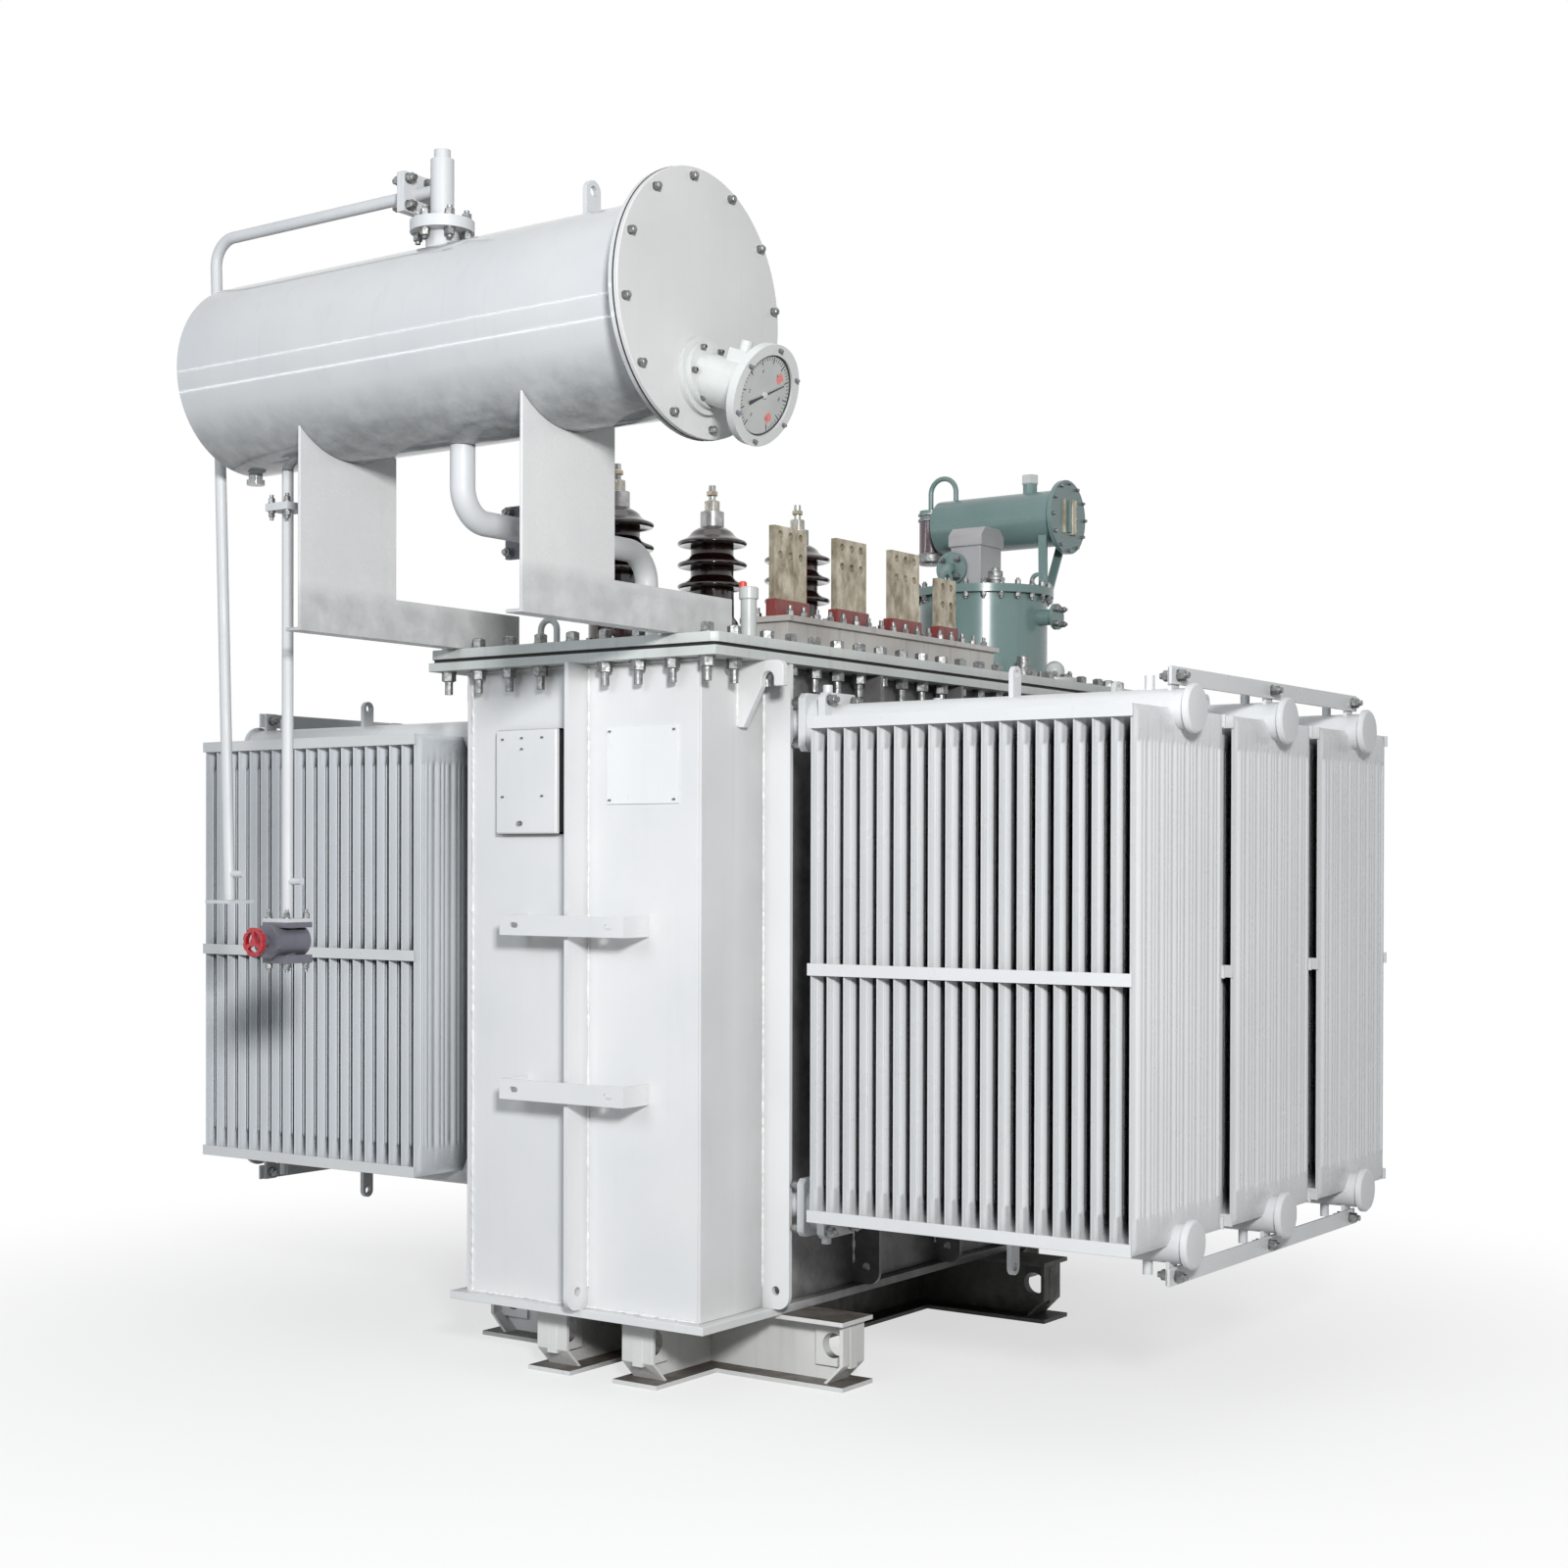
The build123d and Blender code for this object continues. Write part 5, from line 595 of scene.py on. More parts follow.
# %% The bolt tree
bolt_tree, bolt, bolt_end = new_tree("hex_fastener", [
    ("Across Flats", "Float"), ("Head Height", "Float"), ("Washer", "Float"), ("Stud Radius", "Float"),
    ("Stud Length", "Float"), ("Material", "Material")])
WASHER_THICK = 3 * MM
CROWN_HEIGHT = 2 * MM
CROWN_FOOT, CROWN_TOP = 0.49, 0.4
ring = add(bolt_tree, "GeometryNodeMeshCylinder", {"Vertices": 16, "Radius": bolt["Washer"], "Depth": 2 * WASHER_THICK})
corner = add(bolt_tree, "ShaderNodeMath", {0: bolt["Across Flats"], 1: 1 / math.sqrt(3)}, operation="MULTIPLY")
hexagon = add(bolt_tree, "GeometryNodeMeshCone", {"Vertices": 6, "Radius Top": corner,
                                                  "Radius Bottom": corner, "Depth": bolt["Head Height"]})
flat_radius = add(bolt_tree, "ShaderNodeMath", {0: bolt["Across Flats"], 1: CROWN_FOOT}, operation="MULTIPLY")
crown_top = add(bolt_tree, "ShaderNodeMath", {0: bolt["Across Flats"], 1: CROWN_TOP}, operation="MULTIPLY")
crown = add(bolt_tree, "GeometryNodeMeshCone", {"Vertices": 12, "Radius Top": crown_top,
                                                "Radius Bottom": flat_radius, "Depth": CROWN_HEIGHT})
stud = add(bolt_tree, "GeometryNodeMeshCone", {"Vertices": 12, "Radius Top": bolt["Stud Radius"],
                                               "Radius Bottom": bolt["Stud Radius"], "Depth": bolt["Stud Length"]})
head_top = add(bolt_tree, "ShaderNodeMath", {0: bolt["Head Height"], 1: WASHER_THICK}, operation="ADD")
lift_low = add(bolt_tree, "ShaderNodeCombineXYZ", {"Z": WASHER_THICK})
lift_high = add(bolt_tree, "ShaderNodeCombineXYZ", {"Z": head_top})
stack = add(bolt_tree, "GeometryNodeJoinGeometry")
bolt_tree.links.new(ring.outputs["Mesh"], stack.inputs[0])
for part, lift in ((hexagon, lift_low), (crown, lift_high), (stud, lift_high)):
    raised = add(bolt_tree, "GeometryNodeTransform", {"Geometry": part.outputs["Mesh"], "Translation": lift})
    bolt_tree.links.new(raised.outputs[0], stack.inputs[0])

# %% Turn each copy to its point's direction
facing = add(bolt_tree, "GeometryNodeInputNamedAttribute", {"Name": "facing"}, data_type="FLOAT_VECTOR")
aim = add(bolt_tree, "FunctionNodeAlignRotationToVector", {"Vector": facing}, axis="Z")
spin = add(bolt_tree, "FunctionNodeRandomValue", {"Max": 2 * math.pi, "Seed": 7}, data_type="FLOAT")
twist = add(bolt_tree, "FunctionNodeAxisAngleToRotation", {"Axis": (0, 0, 1), "Angle": spin.outputs[1]})
spun = add(bolt_tree, "FunctionNodeRotateRotation",
           {"Rotation": aim, "Rotate By": twist}, rotation_space="LOCAL")
copies = add(bolt_tree, "GeometryNodeInstanceOnPoints", {"Points": bolt["Geometry"], "Instance": stack,
                                                         "Rotation": spun})
solid = add(bolt_tree, "GeometryNodeRealizeInstances", {0: copies})
plated = add(bolt_tree, "GeometryNodeSetMaterial", {"Geometry": solid, "Material": bolt["Material"]})
bolt_tree.links.new(plated.outputs[0], bolt_end)
print("bolt tree nodes:", len(bolt_tree.nodes))

# %% A tool that sets bolts
HEAD_SHARE, WASHER_SHARE, STUD_SHARE = 0.65, 0.62, 0.32
UP, DOWN = (0, 0, 1), (0, 0, -1)
RIGHT, LEFT = (1, 0, 0), (-1, 0, 0)
FRONT, BACK = (0, -1, 0), (0, 1, 0)


def facing_points(name, places):
    """A mesh of points that know which way they face: places is a list of (point, direction)."""
    points = bpy.data.meshes.new(name)
    points.from_pydata([point for point, _ in places], [], [])
    facing = points.attributes.new("facing", "FLOAT_VECTOR", "POINT")
    facing.data.foreach_set("vector", [c for _, way in places for c in way])
    return points


def set_bolts(name, places, across, tail, material=zinc):
    """Bolts of one size, in mm across the flats and in length of the stud end."""
    sizes = {"Across Flats": across * MM, "Head Height": HEAD_SHARE * across * MM,
             "Washer": WASHER_SHARE * across * MM, "Stud Radius": STUD_SHARE * across * MM,
             "Stud Length": tail * MM, "Material": material}
    grow(name, facing_points(name, places), bolt_tree, sizes, (), 25)


def circle(centre, radius, count, start=0.0):
    """Points (a, b) evenly round a circle in its own plane."""
    steps = [math.radians(start + 360 * n / count) for n in range(count)]
    return [(centre[0] + radius * math.cos(a), centre[1] + radius * math.sin(a)) for a in steps]


def square(centre, half):
    """The four corners (a, b) of a square bolt pattern."""
    return [(centre[0] + i * half, centre[1] + j * half) for i in (-1, 1) for j in (-1, 1)]


def on_faces(axis, ring, *faces):
    """Bolt places on flanges: the ring's points on each face, given as its height on the axis and a direction."""
    places = []
    for height, way in faces:
        for point in ring:
            spot = list(point)
            spot.insert("xyz".index(axis), height)
            places.append((place(*spot), way))
    return places


print("four bolts on a circle:", [(round(a), round(b)) for a, b in circle((0, 0), 10, 4)])

# %% [markdown]
# ## Bolts of the cover
# They run all round the rim, a hand's width apart, and step aside where a rib meets the rim.

# %% Rim bolts
RIB_YS = [262 + 410 * n for n in range(5)]
rim = [(x, y) for x in range(-408, 409, 102) for y in (-28, 2108)]
bays = [y + step for y in RIB_YS[:-1] for step in (51, 154, 256, 359)]
rim += [(x, y) for x in (-411, 411) for y in [75, 210, *bays, 1960, 2030]]
set_bolts("rim_bolt_heads", on_faces("z", rim, (1812, UP)), 30, 3)
set_bolts("rim_nuts", on_faces("z", rim, (1758, DOWN)), 32, 34)

# %% [markdown]
# ## Bolts of the flanges
# Every flange pair has its own bolts, heads on one side and nuts on the other.

# %% Barrel and riser bolts
BARREL_Y, BARREL_Z = -445, 2451
RISER_X = -42
large = circle((BARREL_Y, BARREL_Z), 263, 12, 97.5)
set_bolts("end_cover_bolts", on_faces("x", large, (700, RIGHT), (676, LEFT)), 15, 3)
riser = on_faces("z", circle((RISER_X, BARREL_Y), 57, 6, 30), (2743, UP), (2717, DOWN))
riser += on_faces("x", square((BARREL_Y, 2818), 31), (-119, RIGHT), (-141, LEFT))
set_bolts("riser_bolts", riser, 20, 8)

# %% Drain and relay bolts
DRAIN_X = -550
drain = on_faces("z", square((DRAIN_X, BARREL_Y), 27), (2142, UP), (2124, DOWN))
drain += on_faces("z", square((DRAIN_X, BARREL_Y), 31), (1138, UP), (1030, DOWN))
set_bolts("pipe_flange_bolts", drain, 15, 9)
relay = on_faces("y", square((22, 2055), 47), (-229, FRONT), (-39, BACK))
set_bolts("relay_bolts", relay, 20, 8)

# %% Radiator bolts
pipes = []
for sign, outward, inward in ((1, RIGHT, LEFT), (-1, LEFT, RIGHT)):
    for y in RADIATOR_YS:
        for z in (1614, 444):
            pipes += on_faces("x", square((y, z), 52), (sign * 560, outward), (sign * 482, inward))
        for z in (1687, 371):
            pipes += on_faces("x", [(y, z)], (sign * 1440, outward), (sign * 1424, inward))
set_bolts("radiator_bolts", pipes, 22, 9)

# %% Terminal and tap changer bolts
BUSHING_X, BUSHING_YS = -200, [393 + 421 * n for n in range(3)]
TAP_X, TAP_Y = 100, 1805
SMALL_BARREL_Y, SMALL_BARREL_Z = 1978, 2340
nuts = [(x, 484 + 62 * n) for x in (190, 290) for n in range(17)]
set_bolts("terminal_plate_nuts", on_faces("z", nuts, (1902, UP)), 17, 14)
plate = [point for y in BUSHING_YS for point in circle((BUSHING_X, y), 80, 6)]
set_bolts("terminal_bolts", on_faces("z", plate, (1838, UP)), 20, 10)
tap = on_faces("z", circle((TAP_X, TAP_Y), 204, 24), (2109, UP), (2085, DOWN))
tap += on_faces("y", circle((48, 2171), 37, 4, 45), (1698, FRONT))
tap += on_faces("x", circle((TAP_Y, 2016), 31, 4, 45), (357, RIGHT))
tap += on_faces("z", circle((375, 1750), 50, 6), (1826, UP))
set_bolts("tap_changer_bolts", tap, 15, 6)
sight = circle((SMALL_BARREL_Y, SMALL_BARREL_Z), 103, 12)
set_bolts("sight_plate_screws", on_faces("x", sight, (300, RIGHT)), 9, 1)

# %% [markdown]
# ## Weld beads
# Ribs and corners are joined by a thin bead, dotted and lumpy where the welder paused. A bead follows a path,
# so a tree turns edges into curves, sweeps a small circle along them and roughens it with noise.

# %% The weld tree
weld_tree, weld, weld_end = new_tree("weld_bead", [
    ("Bead Radius", "Float"), ("Ripple", "Float"), ("Lump", "Float"), ("Seed", "Int"), ("Material", "Material")])
path = add(weld_tree, "GeometryNodeMeshToCurve", {0: weld["Geometry"]})
steps = add(weld_tree, "GeometryNodeResampleCurve", {"Curve": path, "Length": weld["Ripple"]}, mode="LENGTH")
profile = add(weld_tree, "GeometryNodeCurvePrimitiveCircle", {"Resolution": 6, "Radius": weld["Bead Radius"]})
drop = add(weld_tree, "FunctionNodeRandomValue", {2: 0.25, 3: 1.4, "Seed": weld["Seed"]}, data_type="FLOAT")
bead = add(weld_tree, "GeometryNodeCurveToMesh", {"Curve": steps, "Profile Curve": profile,
                                                  "Scale": drop.outputs[1], "Fill Caps": True})
noise = add(weld_tree, "ShaderNodeTexNoise", {"Scale": 1 / (16 * MM), "Detail": 2.0})
swing = add(weld_tree, "ShaderNodeMapRange", {"Value": noise, "From Min": 0.3, "From Max": 0.7,
                                              "To Min": 0.0, "To Max": weld["Lump"]})
outward = add(weld_tree, "GeometryNodeInputNormal").outputs[0]
offset = add(weld_tree, "ShaderNodeVectorMath", {0: outward, "Scale": swing}, operation="SCALE")
lumpy = add(weld_tree, "GeometryNodeSetPosition", {"Geometry": bead, "Offset": offset})
joined = add(weld_tree, "GeometryNodeRealizeInstances", {0: lumpy})
coated = add(weld_tree, "GeometryNodeSetMaterial", {"Geometry": joined, "Material": weld["Material"]})
weld_tree.links.new(coated.outputs[0], weld_end)
print("weld tree nodes:", len(weld_tree.nodes))

# %% Beads along ribs, corners and hooks
# Paint over a weld: glossier than the plate, because it lies thick there, and a shade brighter as a painted highlight
weld_paint = paint("alkyd_paint_over_weld", "#E8E8E8", "#E2E2E2", "#B3B0A8", "#CBC9C3", 0.05, 0.1, 0.2, 0.18)
runs = []
for sign in (-1, 1):
    for y in RIB_YS:
        runs += [((sign * 370, y + s, 240), (sign * 370, y + s, 1750)) for s in (-7, 7)]
    runs += [((sign * 370, y, 1604), (sign * 370, y, 1752)) for y in (144, 166, 1914, 1936)]
for y in (-1, 2081):
    runs += [((22 + s, y, 240), (22 + s, y, 1750)) for s in (-7, 7)]
    runs += [((-366, y, 190), (366, y, 190)), ((-366, y, 1755), (366, y, 1755))]
runs += [((-349, -1, 192), (-349, -1, 1752)), ((349, 2081, 192), (349, 2081, 1752))]
ends = [place(*end) for run in runs for end in run]
lines = bpy.data.meshes.new("weld_paths")
lines.from_pydata(ends, [(2 * n, 2 * n + 1) for n in range(len(runs))], [])
grow("weld_beads", lines, weld_tree, {"Bead Radius": 3.4 * MM, "Ripple": 7 * MM, "Lump": 1.2 * MM, "Seed": 3,
                                      "Material": weld_paint}, (), 60)

# %% [markdown]
# ## Porcelain bushings
# Each high-voltage bushing is a turned, glazed body with three drooping sheds. Turning is a lathe job: one profile,
# spun round its axis. Rounded lips on the sheds are what the glaze highlights run along.

# %% A lathe


def upright(x, y):
    """A vertical axis through a drawing point."""
    return Matrix.Translation(place(x, y, 0))


def lathe(work, profile, axis, steps=48):
    """Spins a profile of (radius, height) in mm about an axis, which is a matrix with its z along the axis."""
    rings = []
    for radius, z in profile:
        turn = [2 * math.pi * n / steps for n in range(steps if radius > 0.01 else 1)]
        rings.append([work.verts.new(axis @ Vector((radius * math.cos(a) * MM, radius * math.sin(a) * MM, z * MM)))
                      for a in turn])
    for low, high in zip(rings, rings[1:]):
        for n in range(steps):
            corners = [low[n % len(low)], low[(n + 1) % len(low)], high[(n + 1) % len(high)], high[n % len(high)]]
            work.faces.new(list(dict.fromkeys(corners)))


def shed(rim_z):
    """Profile of one drooping shed with a rounded lip, from its underside up."""
    bend = [math.radians(degrees) for degrees in range(-90, 61, 25)]
    lip = [(90 + 7 * math.cos(a), rim_z - 3 + 7 * math.sin(a)) for a in bend]
    under = [(61, rim_z - 4), (70, rim_z - 2), (84, rim_z - 9)]
    return [*under, *lip, (76, rim_z + 10), (64, rim_z + 19), (60, rim_z + 26)]


print("points on one shed:", len(shed(0)))


# %% Three bushings
work = bmesh.new()
profile = [(0, 1838), (74, 1838), (76, 1842), (76, 1930), (73, 1944), (62, 1958)]
for rim_z in (2046, 2106, 2166):
    profile += shed(rim_z)
profile += [(52, 2199), (40, 2206), (34, 2208), (0, 2208)]
for y in BUSHING_YS:
    lathe(work, profile, upright(BUSHING_X, y))
bmesh.ops.recalc_face_normals(work, faces=work.faces)
show("bushing_porcelain", keep_mesh(work, "bushing_porcelain", glaze, 50), stands_for=["hv_porcelain"])

# %% [markdown]
# ## Small turned fittings
# Nuts on the bushing studs, the filler's hexagon cap, the gel cup with its metal rings, the vent can and the
# thermometer's cap are all turned or hexagonal, so the same lathe makes them, with six steps for a hexagon.

# %% Caps, nuts and the gel cup


def turned_piece(name, profiles, material, steps=40):
    """Spins each (profile, axis) into one piece."""
    work = bmesh.new()
    for profile, axis in profiles:
        lathe(work, profile, axis, steps)
    bmesh.ops.remove_doubles(work, verts=work.verts, dist=1e-6)
    bmesh.ops.recalc_face_normals(work, faces=work.faces)
    show(name, keep_mesh(work, name, material, 30))


def drum(radius, low, high, soft=1.5):
    """Profile of a drum with softened rims."""
    return [(0, low), (radius - soft, low), (radius, low + soft),
            (radius, high - soft), (radius - soft, high), (0, high)]


studs = [upright(BUSHING_X, y) for y in BUSHING_YS]
nuts = [(drum(23, 2253, 2281, 2), axis) for axis in studs] + [(drum(17, 2296, 2309, 2), axis) for axis in studs]
turned_piece("bushing_nuts", nuts, bright_brass, 6)
turned_piece("filler_cap", [(drum(28, 2452, 2481, 3), upright(167, SMALL_BARREL_Y))], gauge_paint, 6)
gel_axis = upright(-190, SMALL_BARREL_Y)
turned_piece("gel_cup", [(drum(37, 2262, 2372, 3), gel_axis)], gel)
rings = [(drum(41, low, low + 8), gel_axis) for low in (2366, 2384)] + [(drum(43, 2228.5, 2268, 9), gel_axis)]
turned_piece("gel_rings", rings, zinc)
plug = [(0, 2108), (24, 2108), (24, 2118), (28, 2119), (28, 2126),
        (22, 2128), (22, 2146), (12, 2148), (12, 2156), (0, 2157)]
turned_piece("lid_plug", [(plug, upright(222, 1664))], zinc)
turned_piece("vent_can", [(drum(19, 1812, 1887, 4), upright(330, 1640))], zinc)
turned_piece("thermometer_cap", [(drum(24, 1919, 1950, 3), upright(330, 247))], gauge_paint)
turned_piece("thermometer_plug", [(drum(10, 1940, 1964, 3), upright(318, 239))], red_plastic)

# %% [markdown]
# ## Joints and sight strips
# Dark rubber shows as a thin line behind the cabinet, drawn deep there so that it also stands for the shade of the
# gap under the cover, and between the barrel's flanges; two strips hold the small conservator's sight glass. They
# are plain bars, so a tool adds softened bars to one mesh.

# %% Cabinet joint, flange joint and sight strips


def bars(name, boxes, material, edge):
    """Bars between pairs of drawing corners, with softened edges, as one piece."""
    work = bmesh.new()
    for low, high in boxes:
        middle, size = (place(*low) + place(*high)) / 2, place(*high) - place(*low)
        bmesh.ops.create_cube(work, size=1, matrix=Matrix.Translation(middle) @ Matrix.Diagonal((*size, 1)))
    bmesh.ops.bevel(work, geom=work.edges[:], offset=edge * MM, segments=2, profile=0.5, affect="EDGES")
    show(name, keep_mesh(work, name, material))


# A rubber joint and painted shade: the rubber runs deep along the cabinet's sides, where the gap under the cover is in
# shade
joint_and_gap_shade = [((-251, -16, 1345), (-51, -1, 1351)), ((-251, -16, 1599), (-51, -1, 1605)),
         ((-251, -16, 1345), (-245, -1, 1605)), ((-57, -16, 1345), (-51, -1, 1605))]
bars("cabinet_joint_and_gap_shade", joint_and_gap_shade, rubber, 0.6)
along_x = Matrix.Translation(place(0, BARREL_Y, BARREL_Z)) @ Matrix.Rotation(math.pi / 2, 4, "Y")
line = [(281, 686.4), (283.8, 686.4), (283.8, 689.6), (281, 689.6), (281, 686.4)]
turned_piece("flange_joint", [(line, along_x)], rubber, 96)
bars("sight_strips", [((299, 1940, 2288), (307, 1951, 2392)), ((299, 1985, 2286), (312, 1993, 2394)),
                      ((299, 2003, 2286), (312, 2011, 2394))], brass, 1.5)
bars("sight_glass", [((299, 1992, 2290), (309, 2004, 2390)), ((299, 2009, 2300), (310, 2020, 2306)),
                     ((299, 2009, 2337), (310, 2020, 2343)), ((299, 2009, 2374), (310, 2020, 2380))],
     gauge_paint, 1.5)

# %% [markdown]
# ## The gauge's dial
# A pale tin dial sits behind the glass, with ticks, numbers, two red fields and a dark needle. The marks are drawn
# flat in the dial's own plane and then carried to the tilted gauge by one matrix. The ticks repeat round the
# scale, so a tree sets them.

# %% The dial's plane
GAUGE_Z = 2299
DIAL_DEPTH = 179 - 7
tilt = math.radians(20)
normal = Vector((math.cos(tilt), 0, -math.sin(tilt)))
upward = Vector((math.sin(tilt), 0, math.cos(tilt)))
centre = place(700, BARREL_Y, GAUGE_Z) + normal * DIAL_DEPTH * MM
dial = Matrix.Translation(centre) @ Matrix((Vector((0, 1, 0)), upward, normal)).transposed().to_4x4()


def prism(work, outline, low, high):
    """A flat shape in the dial's plane with a little thickness, in mm."""
    rings = [[work.verts.new(dial @ Vector((a * MM, b * MM, h * MM))) for a, b in outline] for h in (low, high)]
    work.faces.new(rings[1])
    work.faces.new(rings[0][::-1])
    for n in range(len(outline)):
        m = (n + 1) % len(outline)
        work.faces.new((rings[0][n], rings[0][m], rings[1][m], rings[1][n]))


def spoke(work, angle, corners, low, high):
    """A flat shape laid along an angle of the dial: corners are (outward, sideways) in mm."""
    a = math.radians(angle)
    out, side = Vector((math.cos(a), math.sin(a))), Vector((-math.sin(a), math.cos(a)))
    prism(work, [tuple(out * r + side * s) for r, s in corners], low, high)


print("the dial's middle:", [round(c, 3) for c in centre])

# %% Face, red fields, needle and hub
work = bmesh.new()
prism(work, circle((0, 0), 83.6, 96), -0.5, 0.5)
show("dial_face", keep_mesh(work, "dial_face", dial_tin))
work = bmesh.new()
for angle in (48, -52):
    spoke(work, angle, ((44, -8), (63, -10), (63, 10), (44, 8)), 0.5, 0.8)
show("dial_red_fields", keep_mesh(work, "dial_red_fields", dial_red))
work = bmesh.new()
spoke(work, 28, ((-50, -4.0), (-20, -2.0), (62, -0.7), (62, 0.7), (-20, 2.0), (-50, 4.0)), 2.2, 3.2)
lathe(work, [(80.6, 0.4), (83.8, 0.4), (83.8, 2.0), (80.6, 2.0), (80.6, 0.4)], dial, 96)
show("dial_needle", keep_mesh(work, "dial_needle", dial_ink))
work = bmesh.new()
prism(work, circle((0, 0), 7, 32), 0.5, 4.2)
prism(work, circle((0, 0), 4, 24), 4.2, 5.4)
show("dial_hub", keep_mesh(work, "dial_hub", gauge_paint))

# %% Ticks round the scale
TICK_LIFT, TICK_HEIGHT = 0.7 * MM, 0.4 * MM
tick_tree, tick, tick_end = new_tree("dial_ticks", [
    ("Width", "Float"), ("Length", "Float"), ("Height", "Float"), ("Material", "Material")])
bar_size = add(tick_tree, "ShaderNodeCombineXYZ", {"X": tick["Length"], "Y": tick["Width"], "Z": tick["Height"]})
mark = add(tick_tree, "GeometryNodeMeshCube", {"Size": bar_size})
radial = add(tick_tree, "GeometryNodeInputNamedAttribute", {"Name": "facing"}, data_type="FLOAT_VECTOR")
lean = add(tick_tree, "FunctionNodeAlignRotationToVector", {"Vector": radial}, axis="X")
level = add(tick_tree, "FunctionNodeAlignRotationToVector", {"Rotation": lean, "Vector": tuple(normal)},
            axis="Z", pivot_axis="X")
marks = add(tick_tree, "GeometryNodeInstanceOnPoints",
            {"Points": tick["Geometry"], "Instance": mark.outputs["Mesh"], "Rotation": level})
flat = add(tick_tree, "GeometryNodeRealizeInstances", {0: marks})
inked = add(tick_tree, "GeometryNodeSetMaterial", {"Geometry": flat, "Material": tick["Material"]})
tick_tree.links.new(inked.outputs[0], tick_end)


def set_ticks(name, angles, radius, length, width):
    """Radial marks on the dial at the angles given."""
    ways = [Vector((math.cos(math.radians(a)), math.sin(math.radians(a)), 0)) for a in angles]
    lift = Vector((0, 0, TICK_LIFT))
    places = [(dial @ (way * radius * MM + lift), dial.to_3x3() @ way) for way in ways]
    sizes = {"Width": width * MM, "Length": length * MM, "Height": TICK_HEIGHT, "Material": dial_ink}
    grow(name, facing_points(name, places), tick_tree, sizes)


set_ticks("dial_long_ticks", [-60 + 30 * n for n in range(11)], 72, 14, 2.2)
set_ticks("dial_short_ticks", [-60 + 6 * n for n in range(51) if n % 5], 75, 8, 1.1)

# %% Numbers
NUMBER_RADIUS, NUMBER_SIZE = 52, 11 * MM
for number in range(0, 11, 2):
    text = bpy.data.curves.new("numeral", "FONT")
    text.body = str(number)
    text.size = NUMBER_SIZE
    text.align_x = text.align_y = "CENTER"
    text.extrude = 0.15 * MM
    written = bpy.data.objects.new("numeral", text)
    bpy.context.scene.collection.objects.link(written)
    mesh = bpy.data.meshes.new_from_object(written.evaluated_get(bpy.context.evaluated_depsgraph_get()))
    bpy.data.objects.remove(written)
    a = math.radians(240 - 30 * number)
    spot = (NUMBER_RADIUS * math.cos(a) * MM, NUMBER_RADIUS * math.sin(a) * MM, 0.65 * MM)
    mesh.transform(dial @ Matrix.Translation(spot))
    mesh.materials.clear()
    mesh.materials.append(dial_ink)
    show("dial_number_%d" % number, mesh)

# %% Small screws of the gauge, cabinet and plate
gauge = [(dial @ Vector((a * MM, b * MM, 7 * MM)), tuple(normal)) for a, b in circle((0, 0), 95, 6, 30)]
set_bolts("gauge_screws", gauge, 7, 1, iron_paint)
neck = circle((BARREL_Y, GAUGE_Z), 61, 6)
set_bolts("gauge_neck_bolts", on_faces("x", neck, (724, RIGHT)), 10, 2, zinc)
door = ((-225, 1581), (-162, 1583), (-96, 1583), (-162, 1556), (-225, 1438), (-96, 1439))
corners = [(x, z) for x in (98, 294) for z in (1426, 1592)]
rivets = on_faces("y", door, (-27, FRONT)) + on_faces("y", corners, (-3, FRONT))
set_bolts("cabinet_rivets", rivets, 4.5, 0.2, iron_paint)
set_bolts("cabinet_screw", on_faces("y", [(-167, 1372)], (-28, FRONT)), 10, 1, zinc)

# %% [markdown]
# ## Floor, light and camera
# A studio floor that is white far out and keeps the shadow close in, soft lamps from the front, two strip lamps whose
# reflections run along the barrel, and a camera at the photograph's angle. The white surroundings are seen by the
# camera and by reflections only, so that they don't add light to the paint.

# %% Floor and surroundings
FLOOR_HALF = 60


def seen_directly(tree):
    """1 for rays that show the surroundings: from the camera, off a reflection or through glass."""
    rays = add(tree, "ShaderNodeLightPath").outputs
    seen = add(tree, "ShaderNodeMath", {0: rays["Is Camera Ray"], 1: rays["Is Glossy Ray"]}, operation="MAXIMUM")
    return add(tree, "ShaderNodeMath", {0: seen, 1: rays["Is Transmission Ray"]}, operation="MAXIMUM")


floor_mesh = bpy.data.meshes.new("studio_floor")
corners = [(i * FLOOR_HALF, j * FLOOR_HALF, 0) for i, j in ((-1, -1), (1, -1), (1, 1), (-1, 1))]
floor_mesh.from_pydata(corners, [], [(0, 1, 2, 3)])
floor = bpy.data.objects.new("studio_floor", floor_mesh)
bpy.context.scene.collection.objects.link(floor)
floor_white, tree, surface, spot = new_material("white_vinyl_floor", {"Roughness": 0.7})
reach = add(tree, "ShaderNodeVectorMath", {0: spot}, operation="LENGTH")
fade = add(tree, "ShaderNodeMapRange", {"Value": reach.outputs["Value"], "From Min": 1.0, "From Max": 3.4,
                                        "To Min": 0.66, "To Max": 1.0}, interpolation_type="SMOOTHSTEP")
seen = seen_directly(tree)
vinyl = add(tree, "ShaderNodeMix", {0: seen, 6: linear("#7A7A7A"), 7: linear("#F6F6F6")}, data_type="RGBA")
tree.links.new(vinyl.outputs[2], surface.inputs["Base Color"])
share = add(tree, "ShaderNodeMath", {0: seen, 1: fade}, operation="MULTIPLY")
glow = add(tree, "ShaderNodeEmission", {"Strength": 1.0})
mixed = add(tree, "ShaderNodeMixShader", {0: share, 1: surface, 2: glow})
tree.links.new(mixed.outputs[0], tree.nodes["Material Output"].inputs["Surface"])
floor_mesh.materials.append(floor_white)
print("floor of", 2 * FLOOR_HALF, "m a side")

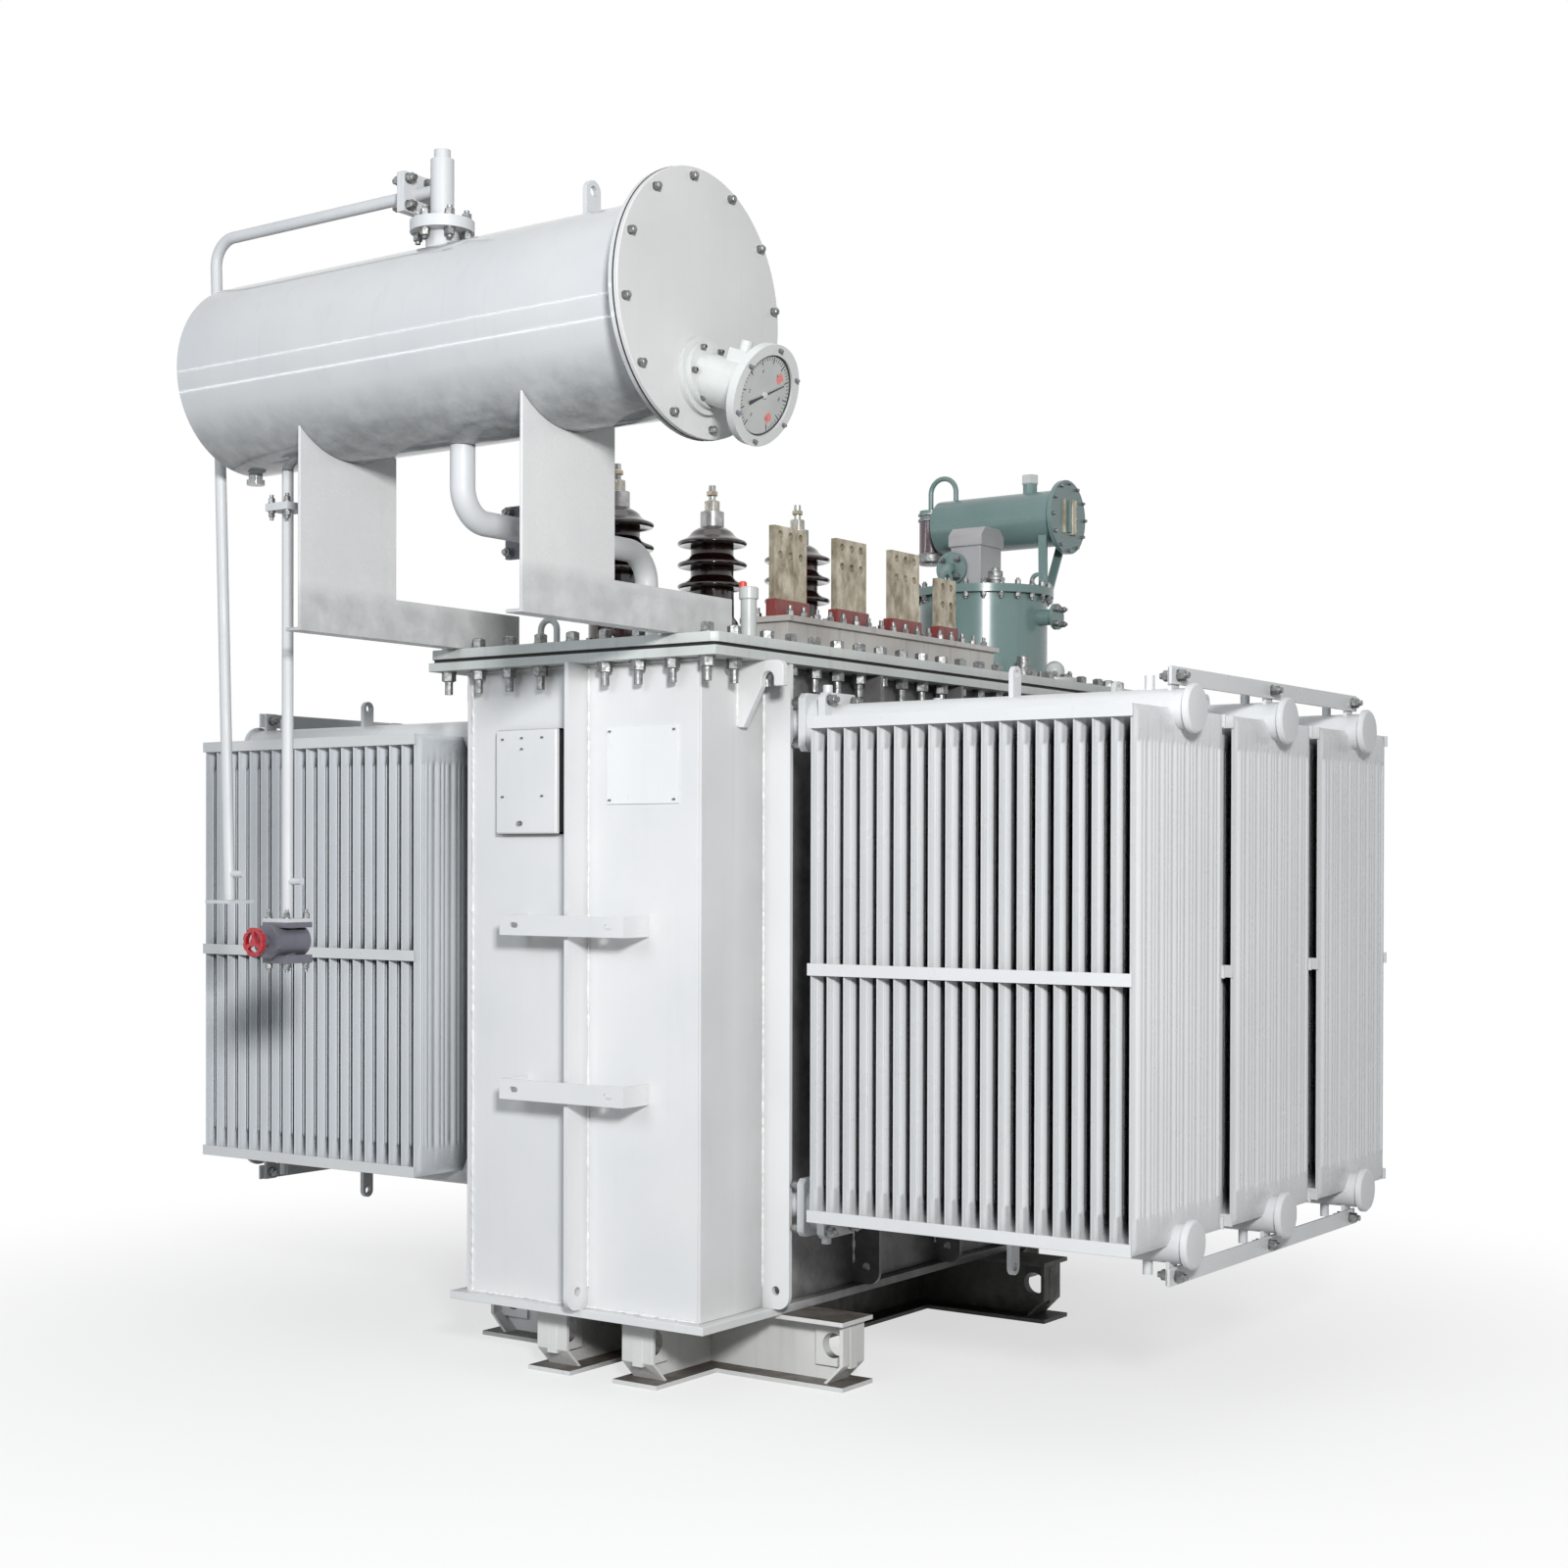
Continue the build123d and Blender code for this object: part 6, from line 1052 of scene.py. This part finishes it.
# %% World and lamps
scene = bpy.context.scene
scene.view_settings.view_transform = "Standard"
world = bpy.data.worlds.new("studio")
scene.world = world
world.use_nodes = True
tree = world.node_tree
seen = seen_directly(tree)
ambient = tree.nodes["Background"]
ambient.inputs["Color"].default_value = linear("#ECF1F5")
ambient.inputs["Strength"].default_value = 0.2
white = add(tree, "ShaderNodeBackground", {"Color": (1, 1, 1, 1), "Strength": 1.0})
mixed = add(tree, "ShaderNodeMixShader", {0: seen, 1: ambient, 2: white})
tree.links.new(mixed.outputs[0], tree.nodes["World Output"].inputs["Surface"])


def lamp(name, spot, target, wide, tall, power, colour="#FFFFFF"):
    """A soft lamp of a width and height, aimed at a point."""
    light = bpy.data.lights.new(name, "AREA")
    light.shape = "RECTANGLE"
    light.size, light.size_y = wide, tall
    light.energy = power
    light.color = linear(colour)[:3]
    thing = bpy.data.objects.new(name, light)
    thing.location = spot
    thing.rotation_euler = (Vector(target) - Vector(spot)).to_track_quat("-Z", "Y").to_euler()
    scene.collection.objects.link(thing)


lamp("key_softbox", (4.6, -5.35, 2.9), (0.2, -0.3, 1.2), 0.7, 0.7, 375)
lamp("top_softbox", (0.5, -0.5, 7.0), (0, 0, 1), 4.0, 4.0, 40)
lamp("fill_softbox", (0.0, -9.0, 5.0), (-0.3, -0.7, 1.0), 4.0, 3.0, 200, "#EAF2FA")
lamp("left_strip", (-5.2, -7.0, 3.6), (-5.2, 0, 2.4), 4.4, 0.14, 17, "#EAF2FA")
lamp("low_strip", (-5.2, -7.0, 1.1), (-5.2, 0, 2.4), 4.4, 0.2, 26, "#EAF2FA")
print("lamps:", len(bpy.data.lights))

# %% Camera
yaw, pitch, roll = math.radians(35.61), math.radians(-0.39), math.radians(0.13)
ahead = Vector((-math.sin(yaw) * math.cos(pitch), math.cos(yaw) * math.cos(pitch), math.sin(pitch)))
level = Vector((math.cos(yaw), math.sin(yaw), 0))
above = level.cross(ahead)
tipped_level = level * math.cos(roll) + above * math.sin(roll)
tipped_above = above * math.cos(roll) - level * math.sin(roll)
view = bpy.data.cameras.new("camera")
view.sensor_width = 36
view.lens = 52.38
view.shift_x, view.shift_y = 0.0256, 0.0613
camera = bpy.data.objects.new("camera", view)
turned = Matrix((tipped_level, tipped_above, -ahead)).transposed().to_4x4()
camera.matrix_world = Matrix.Translation(place(3576, -4303, 1271)) @ turned
scene.collection.objects.link(camera)
scene.camera = camera
print("camera at", [round(c, 2) for c in camera.matrix_world.translation])
